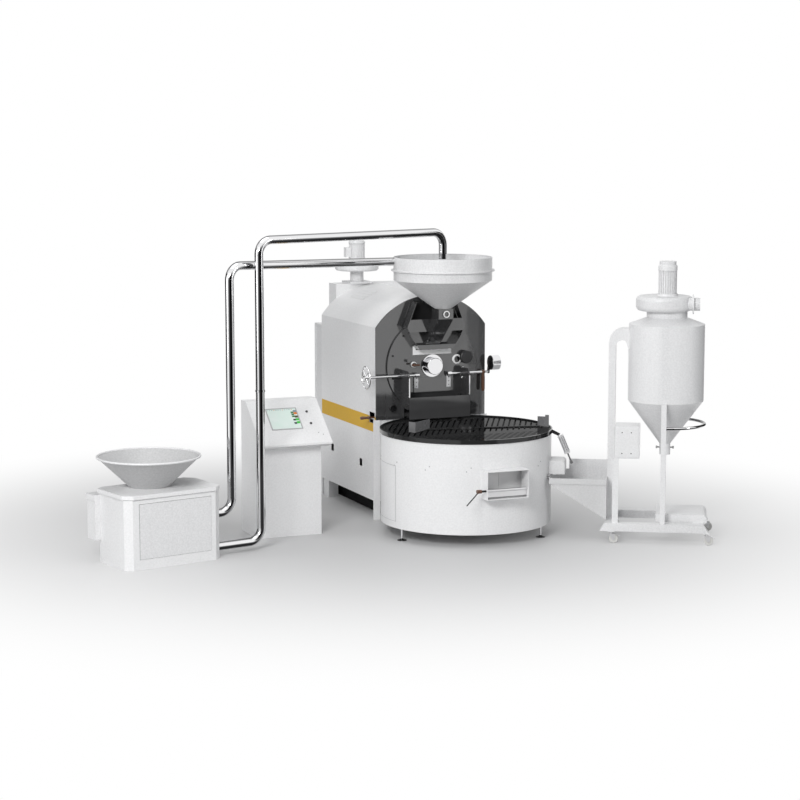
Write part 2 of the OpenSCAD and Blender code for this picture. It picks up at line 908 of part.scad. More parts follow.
module window_ring(outer, inner, t) difference() {
    rotate([180, 0, 0]) turned_y() polygon([[inner, 0], [outer, 0], [outer, t / 2], [outer - t / 2, t], [inner, t]]);
}

// Rings and panes of the sight glass and of the porthole
module sight_rings() color(steel) at_roaster() {
    translate([glass_x, face_y, drum_z + glass_up]) window_ring(glass_ring, glass_r - seat, glass_t);
    translate([glass_x, face_y - glass_t / 2, drum_z + glass_up]) rod_y(glass_r, pane_t);
    translate([port_x, -plate_t - cover_t, port_z]) window_ring(port_ring, port_r - seat, glass_t);
    translate([port_x, -plate_t - cover_t - glass_t / 2, port_z]) rod_y(port_r, pane_t);
}

module lamp() color("black") at_roaster() translate([lamp_x, face_y, drum_z + lamp_up]) rotate([180, 0, 0])
    turned_y() polygon([[0, 0], [lamp_foot, 0], [lamp_foot, lamp_off], [lamp_r - lamp_edge, lamp_off],
        [lamp_r, lamp_off + lamp_edge], [lamp_r, lamp_l - lamp_edge], [lamp_r - lamp_edge, lamp_l], [0, lamp_l]]);

// Box over the tray, open above and below, with the two cheeks that carry the door's shafts
module discharge_chute() color(graphite) at_roaster() difference() {
    union() {
        difference() {
            translate([-chute_w / 2, -chute_d, chute_lift]) cube([chute_w, chute_d - plate_t, chute_top - chute_lift]);
            translate([-chute_w / 2 + chute_sheet, -chute_d + chute_sheet, chute_lift - cut])
                cube([chute_w - 2 * chute_sheet, chute_d, chute_top - chute_lift + 2 * cut]);
            translate([-chute_w / 2 - cut, -chute_d + chute_sheet, chute_lift - cut])
                cube([chute_w + 2 * cut, chute_d - chute_sheet + notch_back, notch_top - chute_lift + cut]);
        }
        for (x = [-cheek_x - cheek_t, cheek_x]) across(x, cheek_t)
            translate([face_y - seat, chute_top - chute_slope]) mirror([1, 0])
                rounded(cheek_d + face_y - seat, cheek_top - chute_top + chute_slope, cheek_r);
    }
    translate([-chute_w, door_axis_y, door_axis_z]) rod_x(rod_r + play, 2 * chute_w);
    translate([0, face_y - seat, drum_z]) rod_y(face_r + seat, face_t + seat + cut);
    translate([cover_x - seat, -plate_t - cover_t - seat, plate_foot])
        cube([cover_w + 2 * seat, cover_t + seat + cut, cover_h + seat]);
}

// Door with its straps, shaft, arm and counterweight
module discharge_door() color(steel) at_roaster() translate([0, 0, door_axis_z]) difference() {
    union() {
        translate([-door_w / 2, face_y - seat - door_t, -door_top_gap - door_h]) cube([door_w, door_t, door_h]);
        for (x = [-door_w / 2, door_w / 2 - strap_w]) {
            translate([x, face_y - seat - door_t - strap_t, -door_h + strap_w / 2])
                cube([strap_w, strap_t, door_h - strap_w / 2]);
            translate([x, door_axis_y, 0]) rod_x(strap_knuckle, strap_w);
            translate([x, door_axis_y, -strap_knuckle])
                cube([strap_w, face_y - seat - door_t - door_axis_y, strap_knuckle]);
        }
        translate([rod_in, door_axis_y, 0]) rod_x(rod_r, arm_x + arm_t - rod_in);
        across(arm_x, arm_t) translate([door_axis_y, 0]) rotate(arm_lean) {
            circle(arm_w / 2, $fn = round_fn);
            translate([-arm_w / 2, 0]) square([arm_w, weight_up]);
            translate([0, weight_up]) circle(arm_w / 2, $fn = round_fn);
        }
        translate([arm_x + arm_t, door_axis_y, 0]) rotate([arm_lean, 0, 0]) translate([0, 0, weight_up]) rotate([0, 90, 0]) turned_z() polygon([[0, 0],
            [weight_r - weight_edge, 0], [weight_r, weight_edge], [weight_r, weight_l - weight_edge],
            [weight_r - weight_edge, weight_l], [0, weight_l]]);
    }
    translate([-door_w, door_axis_y, 0]) rod_x(rod_r + play, door_w - rod_in + cut);
}

// Turned grip that hangs on the door's shaft
module door_grip() color(wood) at_roaster() translate([grip_x, door_axis_y, door_axis_z]) difference() {
    union() {
        translate([0, 0, -grip_l]) turned_z() polygon([[0, 0], [grip_r * grip_waist_share, 0],
            [grip_r, grip_r], [grip_r, grip_l * grip_waist_share], [grip_r * grip_waist_share, grip_l],
            [0, grip_l]]);
        translate([-grip_hook, 0, 0]) rod_x(rod_r + grip_hook / 2, 2 * grip_hook);
    }
    translate([-grip_r - cut, 0, 0]) rod_x(rod_r + play, 2 * grip_r + 2 * cut);
}

// Handwheel and its rod, which turn in the left cheek
module handwheel() color(steel) at_roaster() translate([hand_x, door_axis_y, door_axis_z]) {
    rod_x(rod_r, -hand_x - rod_in - cut);
    translate([-hand_hub_l / 2, 0, 0]) rod_x(hand_hub_r, hand_hub_l);
    rotate([0, 90, 0]) rotate_extrude($fn = round_fn) translate([wheel_r - hand_rim, 0]) circle(hand_rim, $fn = 32);
    for (i = [0:hand_spoke_n - 1]) rotate([i * 360 / hand_spoke_n + hand_spoke_turn, 0, 0]) rod_z(hand_spoke_r,
        wheel_r - hand_rim);
}

// Sampling spoon with its cross handle
module trier() color(wood) at_roaster() translate([trier_x, face_y - sleeve_l, drum_z + trier_up]) {
    translate([0, -trier_neck, 0]) rod_y(trier_r, trier_l + trier_neck);
    translate([-trier_bar_l / 2, -trier_neck, 0]) rod_x(trier_bar_r, trier_bar_l);
}

// Damper's turned lever, on a pin inside the slot
module damper_lever() color(wood) at_roaster() translate([-half_w, slot_y + slot_d / 2, lever_z]) difference() {
    union() {
        rotate([0, -90, 0]) turned_z() polygon([[0, -lever_in], [lever_r / 2, -lever_in], [lever_r / 2, lever_neck],
            [lever_r, lever_neck + lever_r], [lever_r * lever_waist_share, lever_neck + 2 * lever_r],
            [lever_r, lever_out - lever_r],
            [lever_r * lever_waist_share, lever_out], [0, lever_out]]);
        translate([lever_in, 0, -lever_r / 2]) rod_z(lever_r, lever_r);
    }
    translate([lever_in, 0, -lever_r]) rod_z(lever_pin + play, 2 * lever_r);
}

// Fan on the rear housing
module roof_fan_housing() color(white) at_roaster() translate([fan_x, fan_y, rear_top]) {
    translate([-fan_base / 2, -fan_base / 2, 0]) cube([fan_base, fan_base, fan_base_h]);
    rod_z(fan_neck_r, fan_base_h + fan_neck_h);
    translate([0, 0, fan_base_h + fan_neck_h]) turned_z() polygon(concat([[0, 0]],
        arc([fan_r - fan_edge, fan_edge], fan_edge, -90, 0, 6),
        arc([fan_r - fan_edge, fan_h - fan_edge], fan_edge, 0, 90, 6), [[0, fan_h]]));
    translate([0, fan_r - fan_out_w, fan_base_h + fan_neck_h + fan_edge / 2])
        cube([fan_r + fan_out_l, fan_out_w, fan_h - fan_edge]);
}

module finned_motor(r, h, foot, cap) {
    rod_z(r + fin_depth / 2, foot);
    rod_z(r - fin_depth, h);
    for (i = [0:fin_n - 1]) rotate(i * 360 / fin_n) translate([0, -fin_t / 2, foot])
        cube([r - fin_t, fin_t, h - foot - cap]);
    translate([0, 0, h - cap]) turned_z() polygon([[0, 0], [r, 0], [r, cap / 2], [r - cap / 2, cap], [0, cap]]);
}

module roof_fan_motor() color(white) at_roaster()
    translate([fan_x, fan_y, rear_top + fan_base_h + fan_neck_h + fan_h]) {
        finned_motor(motor_r, motor_h, motor_foot, motor_cap);
        translate([-motor_r - box_d, -box_w / 2, box_z]) cube([box_d + fin_depth + fin_t, box_w, box_h]);
    }

// Wall and bottom of the cooling tray, with the ways out to the window box and to the destoner
module tray_wall() color(white) difference() {
    at_tray() turned_z() polygon([[0, tray_foot], [tray_r, tray_foot], [tray_r, wall_top],
        [tray_r - tray_sheet, wall_top], [tray_r - tray_sheet, tray_foot + tray_sheet],
        [0, tray_foot + tray_sheet]]);
    at_tray() translate([-window_w / 2 + window_sheet, -tray_r - cut, window_z + window_sheet])
        cube([window_w - 2 * window_sheet, tray_r / 2, window_h - 2 * window_sheet]);
    at_outlet() translate([-tray_r / 2, -outlet_w / 2 + outlet_sheet, outlet_z + outlet_sheet])
        cube([tray_r / 2 + cut, outlet_w - 2 * outlet_sheet, outlet_h - 2 * outlet_sheet]);
}

// Polished band with the ledge that carries the floor
module tray_rim() color(steel) at_tray() turned_z() polygon([[tray_r + seat, tray_top - band_h],
    [tray_r + band_out, tray_top - band_h], [tray_r + band_out, tray_top], [tray_r - rim_in, tray_top],
    [tray_r - rim_in, floor_z - floor_t], [tray_r - rim_in - ledge_w, floor_z - floor_t],
    [tray_r - rim_in - ledge_w, wall_top], [tray_r + seat, wall_top]]);

module long_slots() intersection() {
    difference() {
        circle(slot_r, $fn = round_fn);
        circle(hub_r + slot_edge, $fn = round_fn);
    }
    translate([-tray_r, slot_low]) square([2 * tray_r, slot_high - slot_low]);
    for (i = [-slot_n:slot_n]) translate([(i + 0.5) * slot_pitch, 0]) rotate(slot_turn)
        translate([-tray_r, -slot_w / 2]) square([2 * tray_r, slot_w]);
}

module dashes() for (j = [0:dash_rows - 1]) for (i = [-dash_n:dash_n]) {
    p = [(i + (j % 2) / 2) * dash_pitch, dash_top - j * dash_row];
    if (norm(p) + dash_l / 2 < slot_r) translate(p - [dash_l, dash_w] / 2) square([dash_l, dash_w]);
}

// Perforated floor with the agitator's bearing
module tray_floor() color(graphite) at_tray() {
    translate([0, 0, floor_z - floor_t]) linear_extrude(floor_t) difference() {
        circle(tray_r - rim_in - floor_gap, $fn = 180);
        long_slots();
        dashes();
        circle(agitator_shaft + play, $fn = round_fn);
    }
    translate([0, 0, floor_z - agitator_drop - floor_t]) difference() {
        rod_z(bearing_tube, agitator_drop);
        translate([0, 0, -cut]) rod_z(agitator_shaft + play, agitator_drop + 2 * cut);
    }
}

// Plan of a flat bar from a to b
module bar(a, b, t) translate(a) rotate(atan2(b[1] - a[1], b[0] - a[0])) translate([0, -t / 2]) square([norm(b - a), t]);

// Turning hub and arms, with the folded paddle and the plate that sweeps along the rim
module agitator() color(steel) at_tray() {
    translate([0, 0, floor_z - agitator_drop]) rod_z(agitator_shaft, agitator_drop + hub_h / 2);
    translate([0, 0, arm_z]) {
        rod_z(hub_r, hub_h);
        linear_extrude(arm_flat) bar([0, 0], paddle_in + unit(paddle_in) * arm_lap, arm_wide);
        linear_extrude(arm_flat) bar([0, 0], rim_paddle_in + unit(rim_paddle_in) * arm_lap, arm_wide / 2);
        linear_extrude(arm_flat + paddle_h) {
            bar(paddle_in, paddle_fold, paddle_t);
            bar(paddle_out, paddle_fold, paddle_t);
            translate(paddle_fold) circle(paddle_t / 2, $fn = 24);
        }
        linear_extrude(arm_flat + paddle_h) bar(rim_paddle_in, rim_paddle_out, paddle_t);
    }
    translate(concat(rim_paddle_out, [arm_z + arm_flat + paddle_h - hook_h])) rotate(180 + rim_paddle_turn)
        translate([seat, seat - paddle_t / 2, 0]) cube([hook_l, paddle_t - 2 * seat, 2 * hook_h]);
}

// Levelling feet
module tray_feet() color("black") at_tray() for (i = [0:foot_n - 1])
    translate(polar(foot_circle, foot_angle + i * 360 / foot_n)) turned_z() polygon([[0, 0], [disc_r, 0],
        [disc_r, disc_h / 2], [stem_r * 2, disc_h], [stem_r, disc_h * 2], [stem_r, tray_foot - nut_h],
        [nut_r, tray_foot - nut_h], [nut_r, tray_foot], [0, tray_foot]]);

// Box in front of the wall, open at the front
module tray_window() color(white) at_tray() difference() {
    translate([-window_w / 2, -window_face, window_z]) cube([window_w, window_face, window_h]);
    translate([-window_w / 2 + window_sheet, -window_face - cut, window_z + window_sheet])
        cube([window_w - 2 * window_sheet, window_face, window_h - 2 * window_sheet]);
    rod_z(tray_r + seat, tray_top);
    translate([-window_w, flap_axis_y, window_z + flap_z]) rod_x(stub_r + play, 2 * window_w);
}

// Tube with its flap, turned by the wooden knob
module tray_flap() color(steel) at_tray() translate([0, flap_axis_y, window_z + flap_z]) {
    inner = window_w / 2 - window_sheet - seat;
    translate([-inner, 0, 0]) rod_x(flap_r, 2 * inner);
    translate([-inner, -flap_t / 2, -flap_r - flap_h]) cube([2 * inner, flap_t, flap_r + flap_h]);
    translate([-window_w / 2 - knob_reach, 0, 0]) rod_x(stub_r, window_w + knob_reach + window_lip);
    translate([-window_w / 2 - knob_reach - flap_knob_l / 2, 0, 0]) rod_x(flap_knob_r, flap_knob_l);
    translate([-window_w / 2 - knob_reach, 0, 0]) rotate([0, 180 + pin_lean, 0]) rod_z(pin_r, pin_len);
}

// Spout towards the destoner, open below and towards the tray
module outlet_box() color(white) at_outlet() difference() {
    upright(-outlet_w / 2, outlet_w) translate([-outlet_in, outlet_z])
        rounded(outlet_in + outlet_l, outlet_h, outlet_edge);
    translate([-outlet_in - cut, -outlet_w / 2 + outlet_sheet, outlet_z - cut])
        cube([outlet_in + outlet_l + cut - outlet_sheet, outlet_w - 2 * outlet_sheet,
            outlet_h - outlet_sheet - outlet_edge + cut]);
    translate([-tray_r, 0, 0]) rod_z(tray_r + seat, tray_top);
}

module at_cylinder() at_outlet() translate([cylinder_x, 0, cylinder_z]) rotate([0, 180 - cylinder_lean, 0])
    children();

// Air cylinder on its arm
module gate_cylinder() color(white) {
    at_cylinder() difference() {
        union() {
            rod_z(cylinder_r, cylinder_l);
            translate([-cylinder_r, -cylinder_r, 0]) cube([2 * cylinder_r, 2 * cylinder_r, cylinder_end]);
            translate([-cylinder_r, -cylinder_r, cylinder_l - cylinder_end])
                cube([2 * cylinder_r, 2 * cylinder_r, cylinder_end]);
        }
        translate([0, 0, cylinder_end]) rod_z(rod_slim + play, cylinder_l);
    }
    at_outlet() upright(-arm_thick / 2, arm_thick) polygon([[band_out + seat, tray_top - band_h],
        [cylinder_x, cylinder_z - arm_back], [cylinder_x, cylinder_z + arm_back],
        [band_out + seat, tray_top - band_h + 2 * arm_thick]]);
}

module gate_rod() color(steel) at_cylinder() {
    translate([0, 0, cylinder_end + rod_travel + seat]) rod_z(rod_slim, rod_tip - cylinder_end - rod_travel);
    translate([-clevis / 2, -clevis / 2, rod_tip - clevis]) cube([clevis, clevis, clevis]);
}

module cabinet_body() color(white) at_cabinet() translate([0, -cabinet_d, 0]) cube([cabinet_w, cabinet_d, cabinet_h]);

module on_slope() at_cabinet() translate([0, -desk_flat, desk_top]) rotate([desk_tilt, 0, 0]) children();

// Console with its sloping face and lip
module cabinet_desk() color(white) difference() {
    at_cabinet() across(0, cabinet_w + desk_over) polygon([[0, cabinet_h], [0, desk_top], [-desk_flat, desk_top],
        [-cabinet_d - desk_reach, desk_lip_z], [-cabinet_d - desk_reach, desk_lip_z - desk_lip],
        [-cabinet_d, cabinet_h]]);
    for (y = button_y) on_slope() translate([button_x, -y, -button_hole]) rod_z(button_r + play, button_hole + cut);
}

module screen() color("black") on_slope() translate([screen_x, -screen_y - screen_d, 0]) difference() {
    cube([screen_w, screen_d, screen_t]);
    translate([bezel, bezel, screen_t / 2]) cube([screen_w - 2 * bezel, screen_d - 2 * bezel, screen_t]);
}

module button(y) on_slope() translate([button_x, -y, -button_stem]) turned_z() polygon([[0, 0], [button_r, 0],
    [button_r, button_stem + button_h - button_edge], [button_r - button_edge, button_stem + button_h],
    [0, button_stem + button_h]]);
module start_button() color("black") button(button_y[0]);
module stop_button() color("black") button(button_y[1]);

function plan(w, d, over) = [[loader_corner_x, -over], [w - loader_corner_x, -over], [w + over, loader_corner_y],
    [w + over, d - loader_corner_y], [w - loader_corner_x, d + over], [loader_corner_x, d + over],
    [-over, d - loader_corner_y], [-over, loader_corner_y]];

// Body of the loader with the air duct behind its left corner
module loader_body() color(white) at_loader() {
    linear_extrude(loader_h) polygon(plan(loader_w, loader_d, 0));
    translate([-duct_x, loader_d - duct_out, duct_z]) cube([duct_len, 2 * duct_out, duct_h]);
    translate([-duct_x - cap_out, loader_d - duct_out, duct_z + duct_h - cap_h])
        cube([duct_len + 2 * cap_out, 2 * duct_out + cap_out, cap_h]);
}

module loader_lid() color(white) at_loader() {
    translate([0, 0, loader_h]) linear_extrude(lid_h / 2) polygon(plan(loader_w, loader_d, -lid_gap));
    translate([0, 0, loader_h + lid_gap]) linear_extrude(lid_h) polygon(plan(loader_w, loader_d, lid_over));
}

module loader_panel() color(white) at_loader() translate([0, -panel_t, 0]) {
    translate([panel_x, 0, panel_z]) cube([loader_w - panel_x - loader_side, panel_t, panel_h]);
    for (x = [panel_x + screw_in, loader_w - loader_side - screw_in])
        for (z = [panel_z + screw_in, panel_z + panel_h / 2, panel_z + panel_h - screw_in])
            translate([x, -screw_h, z]) rod_y(screw_r, screw_h);
}

// Loading dish with its rolled rim
module loader_dish() color(white) at_loader() translate([dish_x, dish_y, loader_h + lid_gap + lid_h]) turned_z() {
    polygon([[0, 0], [dish_foot_r, 0], [dish_r, dish_h - dish_bead], [dish_r - dish_sheet, dish_h - dish_bead],
        [dish_foot_r - dish_sheet, dish_sheet], [0, dish_sheet]]);
    translate([dish_r, dish_h - dish_bead]) circle(dish_bead, $fn = 32);
}

// A place in the loader's frame, seen from the roaster
function from_loader(x, y, z) = let (q = turned([x, y], loader_turn))
    [loader_x + q[0] - roaster_x, loader_y + q[1] - roaster_y, z];
function feed_path() = [from_loader(loader_w, riser_y, feed_low_z), from_loader(feed_riser_x, riser_y, feed_low_z),
    from_loader(feed_riser_x, riser_y, feed_run_z), [0, hopper_y, feed_run_z], [0, hopper_y, hopper_rim - feed_dip]];
function return_path() = [from_loader(loader_w, return_y, return_low_z),
    from_loader(return_riser_x, return_y, return_low_z), from_loader(return_riser_x, return_y, return_run_z),
    [-return_in[0], hopper_y + return_in[1], hopper_rim - return_drop]];

module clamp(p) translate(p) rotate_extrude($fn = round_fn) translate([pipe_r, 0]) circle(clamp_r, $fn = 32);

module feed_pipe() color(steel) at_roaster() {
    pipe(feed_path(), pipe_r, pipe_wall, bend_r);
    difference() {
        clamp(from_loader(feed_riser_x, riser_y, clamp_z));
        translate(from_loader(feed_riser_x, riser_y, 0)) rod_z(pipe_r - pipe_wall / 2, feed_run_z);
    }
}

module return_pipe() color(steel) at_roaster() pipe(return_path(), pipe_r, pipe_wall, bend_r);

module rail_bar(y) upright(y, rail) polygon([[-base_left, castor_h], [base_chamfer - base_left, base_top],
    [base_w - base_left - base_chamfer, base_top], [base_w - base_left, castor_h]]);

// Fork of a castor, whose pin stands over the place's origin
module fork(top) {
    half = wheel_w / 2 + fork_gap;
    crown = 2 * castor_r + fork_gap;
    translate([-fork_w / 2, -half - fork_t, crown]) cube([fork_w + trail, 2 * (half + fork_t), fork_t]);
    for (y = [-half - fork_t, half]) upright(y, fork_t) polygon([[-fork_w / 2, crown + fork_t],
        [trail + fork_w / 2, crown + fork_t], [trail + 2 * axle_r, castor_r - 2 * axle_r],
        [trail - 2 * axle_r, castor_r - 2 * axle_r]]);
    translate([trail, -half - fork_t, castor_r]) rod_y(axle_r, 2 * (half + fork_t));
    translate([0, 0, crown]) rod_z(swivel_r, top - crown);
}

// Base on its four castors, of which the rear pair doesn't swivel
module destoner_base() color(white) at_destoner() {
    back = base_d - base_front - rail;
    difference() {
        union() {
            rail_bar(-base_front);
            rail_bar(back);
            for (x = [base_chamfer - base_left, base_w - base_left - base_chamfer - rail])
                translate([x, rail - base_front - cut, castor_h]) cube([rail, back - rail + base_front + 2 * cut, base_h]);
            for (x = [0, castor_right]) translate([x - fork_plate / 2, -fork_plate / 2 + fork_t, castor_h - plate_h])
                cube([fork_plate, fork_plate, plate_h + cut]);
        }
        for (x = [0, castor_right]) translate([x, 0, castor_h - plate_h - cut])
            rod_z(swivel_r + play, plate_h + cut + seat);
    }
    for (x = [0, castor_right]) translate([x, castor_rear - fork_plate / 2, 0]) fork(castor_h + cut);
    upright(cover_front, cover_depth) translate([cover_left, base_top]) rounded(cover_len, cover_high, cover_round);
}

module fork_left() color(steel) at_destoner() fork(castor_h);
module fork_right() color(steel) at_destoner() translate([castor_right, 0, 0]) fork(castor_h);

module wheel(x, y) color("gray") at_destoner() translate([x + trail, y, castor_r]) difference() {
    translate([0, -wheel_w / 2, 0]) turned_y() polygon([[0, 0], [castor_r - axle_r, 0], [castor_r, axle_r],
        [castor_r, wheel_w - axle_r], [castor_r - axle_r, wheel_w], [0, wheel_w]]);
    translate([0, -wheel_w, 0]) rod_y(axle_r + play, 2 * wheel_w);
}
module wheel_left() wheel(0, 0);
module wheel_right() wheel(castor_right, 0);
module wheel_rear_left() wheel(0, castor_rear - fork_plate / 2);
module wheel_rear_right() wheel(castor_right, castor_rear - fork_plate / 2);

// Posts of the cyclone and leg of the control box
module destoner_posts() color(white) at_destoner() {
    for (y = [post_front, post_back]) translate([post_x, y, base_top]) cube([post_size, post_deep, cyclone_z - base_top]);
    translate([leg_x, 0, base_top]) cube([leg_size, leg_deep, box_low - base_top]);
}

// Open chute that takes the beans from the tray's outlet
module destoner_intake() color(white) at_destoner() {
    slope = intake_rim - intake_lip;
    difference() {
        union() {
            upright(intake_front, intake_depth) polygon([[intake_left, intake_rim], [intake_left, slope],
                [intake_right, intake_low], [intake_right, intake_rim]]);
            translate([intake_left, intake_front - lip_out, slope])
                cube([intake_right - intake_left, intake_depth + 2 * lip_out, intake_lip]);
            translate([intake_left + intake_step, intake_front + intake_depth - intake_sheet, slope])
                cube([intake_right - intake_left - intake_step, intake_sheet, intake_lip + intake_back]);
        }
        upright(intake_front + intake_sheet, intake_depth - 2 * intake_sheet) polygon([
            [intake_left + intake_sheet, intake_rim + cut], [intake_left + intake_sheet, slope + intake_sheet],
            [intake_right - intake_sheet, intake_low + 2 * intake_sheet],
            [intake_right - intake_sheet, intake_rim + cut]]);
    }
}

// Duct that lifts the beans into the cyclone
module riser_duct() color(white) at_destoner() difference() {
    left = riser_left;
    bend_z = riser_top - riser_bend;
    upright(cyclone_y - riser_d / 2, riser_d) polygon(concat([[left, base_top], [left, bend_z]],
        arc([left + riser_bend, bend_z], riser_bend, 180, 90, 12),
        [[cyclone_x, riser_top], [cyclone_x, riser_top - riser_mouth],
        [cyclone_x - cyclone_r, riser_top - riser_mouth]],
        arc([left + riser_w + riser_crotch / 2, bend_z - riser_crotch / 4], riser_crotch / 2, 60, 180, 8),
        [[left + riser_w, base_top]]));
    translate([cyclone_x, cyclone_y, 0]) rod_z(cyclone_r + seat, riser_top + cut);
}

// Cyclone with its cone, spout and the lugs that rest on the posts
module cyclone() color(white) at_destoner() difference() {
    union() {
        translate([cyclone_x, cyclone_y, 0]) turned_z() polygon(concat(cyclone_line(0),
            [for (i = [5:-1:0]) cyclone_line(cyclone_sheet)[i]]));
        for (y = [post_front, post_back - lug_in]) translate([post_x, y, cyclone_z])
            cube([post_size, post_deep + lug_in, lug_h]);
    }
    translate([cyclone_x - valve_l, cyclone_y, valve_z]) rod_x(valve_r + play, 2 * valve_l);
}
function cyclone_line(t) = [[spout_r - t, spout_end], [spout_r - t, spout_top], [cyclone_r - t, cyclone_z],
    [cyclone_r - t, cyclone_z + cyclone_wall], [neck_r - t, neck_low - t], [neck_r - t, neck_top]];

module butterfly() color(steel) at_destoner() translate([cyclone_x, cyclone_y, valve_z]) {
    translate([0, 0, -valve_t / 2]) rod_z(spout_r - cyclone_sheet - valve_gap, valve_t);
    translate([-valve_l / 2, 0, 0]) rod_x(valve_r, valve_l);
    for (x = [-valve_l / 2, valve_l / 2 - valve_end]) translate([x, 0, 0]) rod_x(2 * valve_r, valve_end);
}

// Blower housing on the cyclone's neck
module destoner_fan() color(white) at_destoner() translate([cyclone_x, cyclone_y, neck_top]) {
    translate([volute_x, 0, 0]) turned_z() polygon(concat([[0, 0]],
        arc([volute_r - volute_edge, volute_edge], volute_edge, -90, 0, 8),
        arc([volute_r - volute_edge, volute_h - volute_edge], volute_edge, 0, 90, 8), [[0, volute_h]]));
    translate([0, volute_side, volute_h / 2]) {
        rod_x(stub_out_r, flange_x + stub_out_l);
        translate([flange_x - flange_t, 0, 0]) rod_x(flange_size / 2, flange_t);
    }
}

module destoner_motor() color(white) at_destoner() translate([cyclone_x, cyclone_y, neck_top + volute_h])
    finned_motor(blower_r, blower_base + blower_h + blower_cap, blower_base, blower_cap);

// Steel hoop from post to post round the cone
module hoop_handle() color(steel) at_destoner() translate([cyclone_x, cyclone_y, hoop_z]) rotate(-hoop_a)
    rotate_extrude(angle = 2 * hoop_a, $fn = 180) translate([hoop_r, 0]) circle(hoop_tube, $fn = 32);

module control_box() color(white) at_destoner() {
    translate([box_left, 0, box_low]) cube([box_wide, box_deep, box_high]);
    translate([box_left + box_door_in, -box_door_t, box_low + box_door_in])
        cube([box_wide - 2 * box_door_in, box_door_t, box_high - 2 * box_door_in]);
}

roaster_frame();
roaster_shell();
side_stripes();
front_plate();
face_bolts();
rear_housing();
front_bearing();
feed_hopper();
throat_box();
feed_chute();
chute_bracket();
sight_rings();
lamp();
discharge_chute();
roof_fan_housing();
roof_fan_motor();
tray_wall();
tray_rim();
tray_floor();
tray_feet();
tray_window();
outlet_box();
gate_cylinder();
cabinet_body();
cabinet_desk();
screen();
loader_body();
loader_lid();
loader_panel();
loader_dish();
feed_pipe();
return_pipe();
destoner_base();
destoner_posts();
destoner_intake();
riser_duct();
cyclone();
destoner_fan();
destoner_motor();
hoop_handle();
control_box();
drum();
discharge_door();
door_grip();
handwheel();
trier();
hopper_gate();
damper_lever();
agitator();
tray_flap();
gate_rod();
butterfly();
start_button();
stop_button();
fork_left();
fork_right();
wheel_left();
wheel_right();
wheel_rear_left();
wheel_rear_right();
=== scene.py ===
import math

import bmesh
import bpy
from mathutils import Matrix, Vector


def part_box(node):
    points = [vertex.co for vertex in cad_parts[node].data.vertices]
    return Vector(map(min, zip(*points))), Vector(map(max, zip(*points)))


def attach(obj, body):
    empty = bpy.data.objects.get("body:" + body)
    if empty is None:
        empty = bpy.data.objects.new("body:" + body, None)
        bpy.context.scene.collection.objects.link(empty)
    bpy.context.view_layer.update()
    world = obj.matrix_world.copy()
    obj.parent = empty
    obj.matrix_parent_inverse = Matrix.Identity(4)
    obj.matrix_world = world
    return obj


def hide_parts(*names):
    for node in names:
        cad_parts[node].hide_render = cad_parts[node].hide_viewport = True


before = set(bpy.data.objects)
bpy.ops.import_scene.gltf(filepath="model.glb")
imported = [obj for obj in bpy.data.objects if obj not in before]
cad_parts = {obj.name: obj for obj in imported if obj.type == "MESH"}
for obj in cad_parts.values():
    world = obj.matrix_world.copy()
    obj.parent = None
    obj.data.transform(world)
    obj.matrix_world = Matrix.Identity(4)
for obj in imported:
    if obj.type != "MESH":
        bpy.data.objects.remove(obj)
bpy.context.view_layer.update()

# Camera: a long lens 3.7 m above the floor, left of the plant, that looks down at it by 7.8 degrees.
# Places on the roaster are measured from the floor under the middle of its front plate's back face.
roaster = Vector((0.690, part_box("front_plate")[1].y, 0))
view_from = roaster + Vector((-7.630, -17.420, 3.700))
look_right, look_ahead = 0.3875, 0.9219
look_down = math.radians(7.8)
look = Vector((look_right * math.cos(look_down), look_ahead * math.cos(look_down), -math.sin(look_down)))
camera_data = bpy.data.cameras.new("camera")
camera_data.lens = 92.25
camera_data.sensor_width = 36
camera_data.clip_end = 200
camera = bpy.data.objects.new("camera", camera_data)
camera.location = view_from
camera.rotation_mode = "QUATERNION"
camera.rotation_quaternion = look.to_track_quat("-Z", "Y")
bpy.context.scene.collection.objects.link(camera)
bpy.context.scene.camera = camera
bpy.context.scene.view_settings.view_transform = "Standard"


# Room: a white studio without walls. The camera, mirrors and glass see it white, and the surfaces get a
# softer, slightly cool light from it.
def add_node(tree, kind, values=(), **settings):
    """Adds a shader node with its settings, and values for its inputs by name or number."""
    made = tree.nodes.new("ShaderNode" + kind)
    for name, value in settings.items():
        setattr(made, name, value)
    for name, value in dict(values).items():
        made.inputs[name].default_value = value
    return made


def direct_rays(tree):
    """Gives the light path, and a value that is 1 for what the camera or a mirror sees."""
    path = add_node(tree, "LightPath")
    direct = add_node(tree, "Math", operation="MAXIMUM")
    tree.links.new(path.outputs["Is Camera Ray"], direct.inputs[0])
    tree.links.new(path.outputs["Is Glossy Ray"], direct.inputs[1])
    return path, direct.outputs[0]


world = bpy.data.worlds.new("studio")
bpy.context.scene.world = world
world.use_nodes = True
tree = world.node_tree
tree.nodes.clear()
path, direct = direct_rays(tree)
seen = add_node(tree, "Math", operation="MAXIMUM")
light = add_node(tree, "Background", {"Color": (0.97, 0.985, 1.0, 1), "Strength": 0.40})
white = add_node(tree, "Background", {"Color": (1, 1, 1, 1)})
mixed = add_node(tree, "MixShader")
surface = add_node(tree, "OutputWorld")
tree.links.new(direct, seen.inputs[0])
tree.links.new(path.outputs["Is Transmission Ray"], seen.inputs[1])
tree.links.new(seen.outputs[0], mixed.inputs[0])
tree.links.new(light.outputs[0], mixed.inputs[1])
tree.links.new(white.outputs[0], mixed.inputs[2])
tree.links.new(mixed.outputs[0], surface.inputs["Surface"])


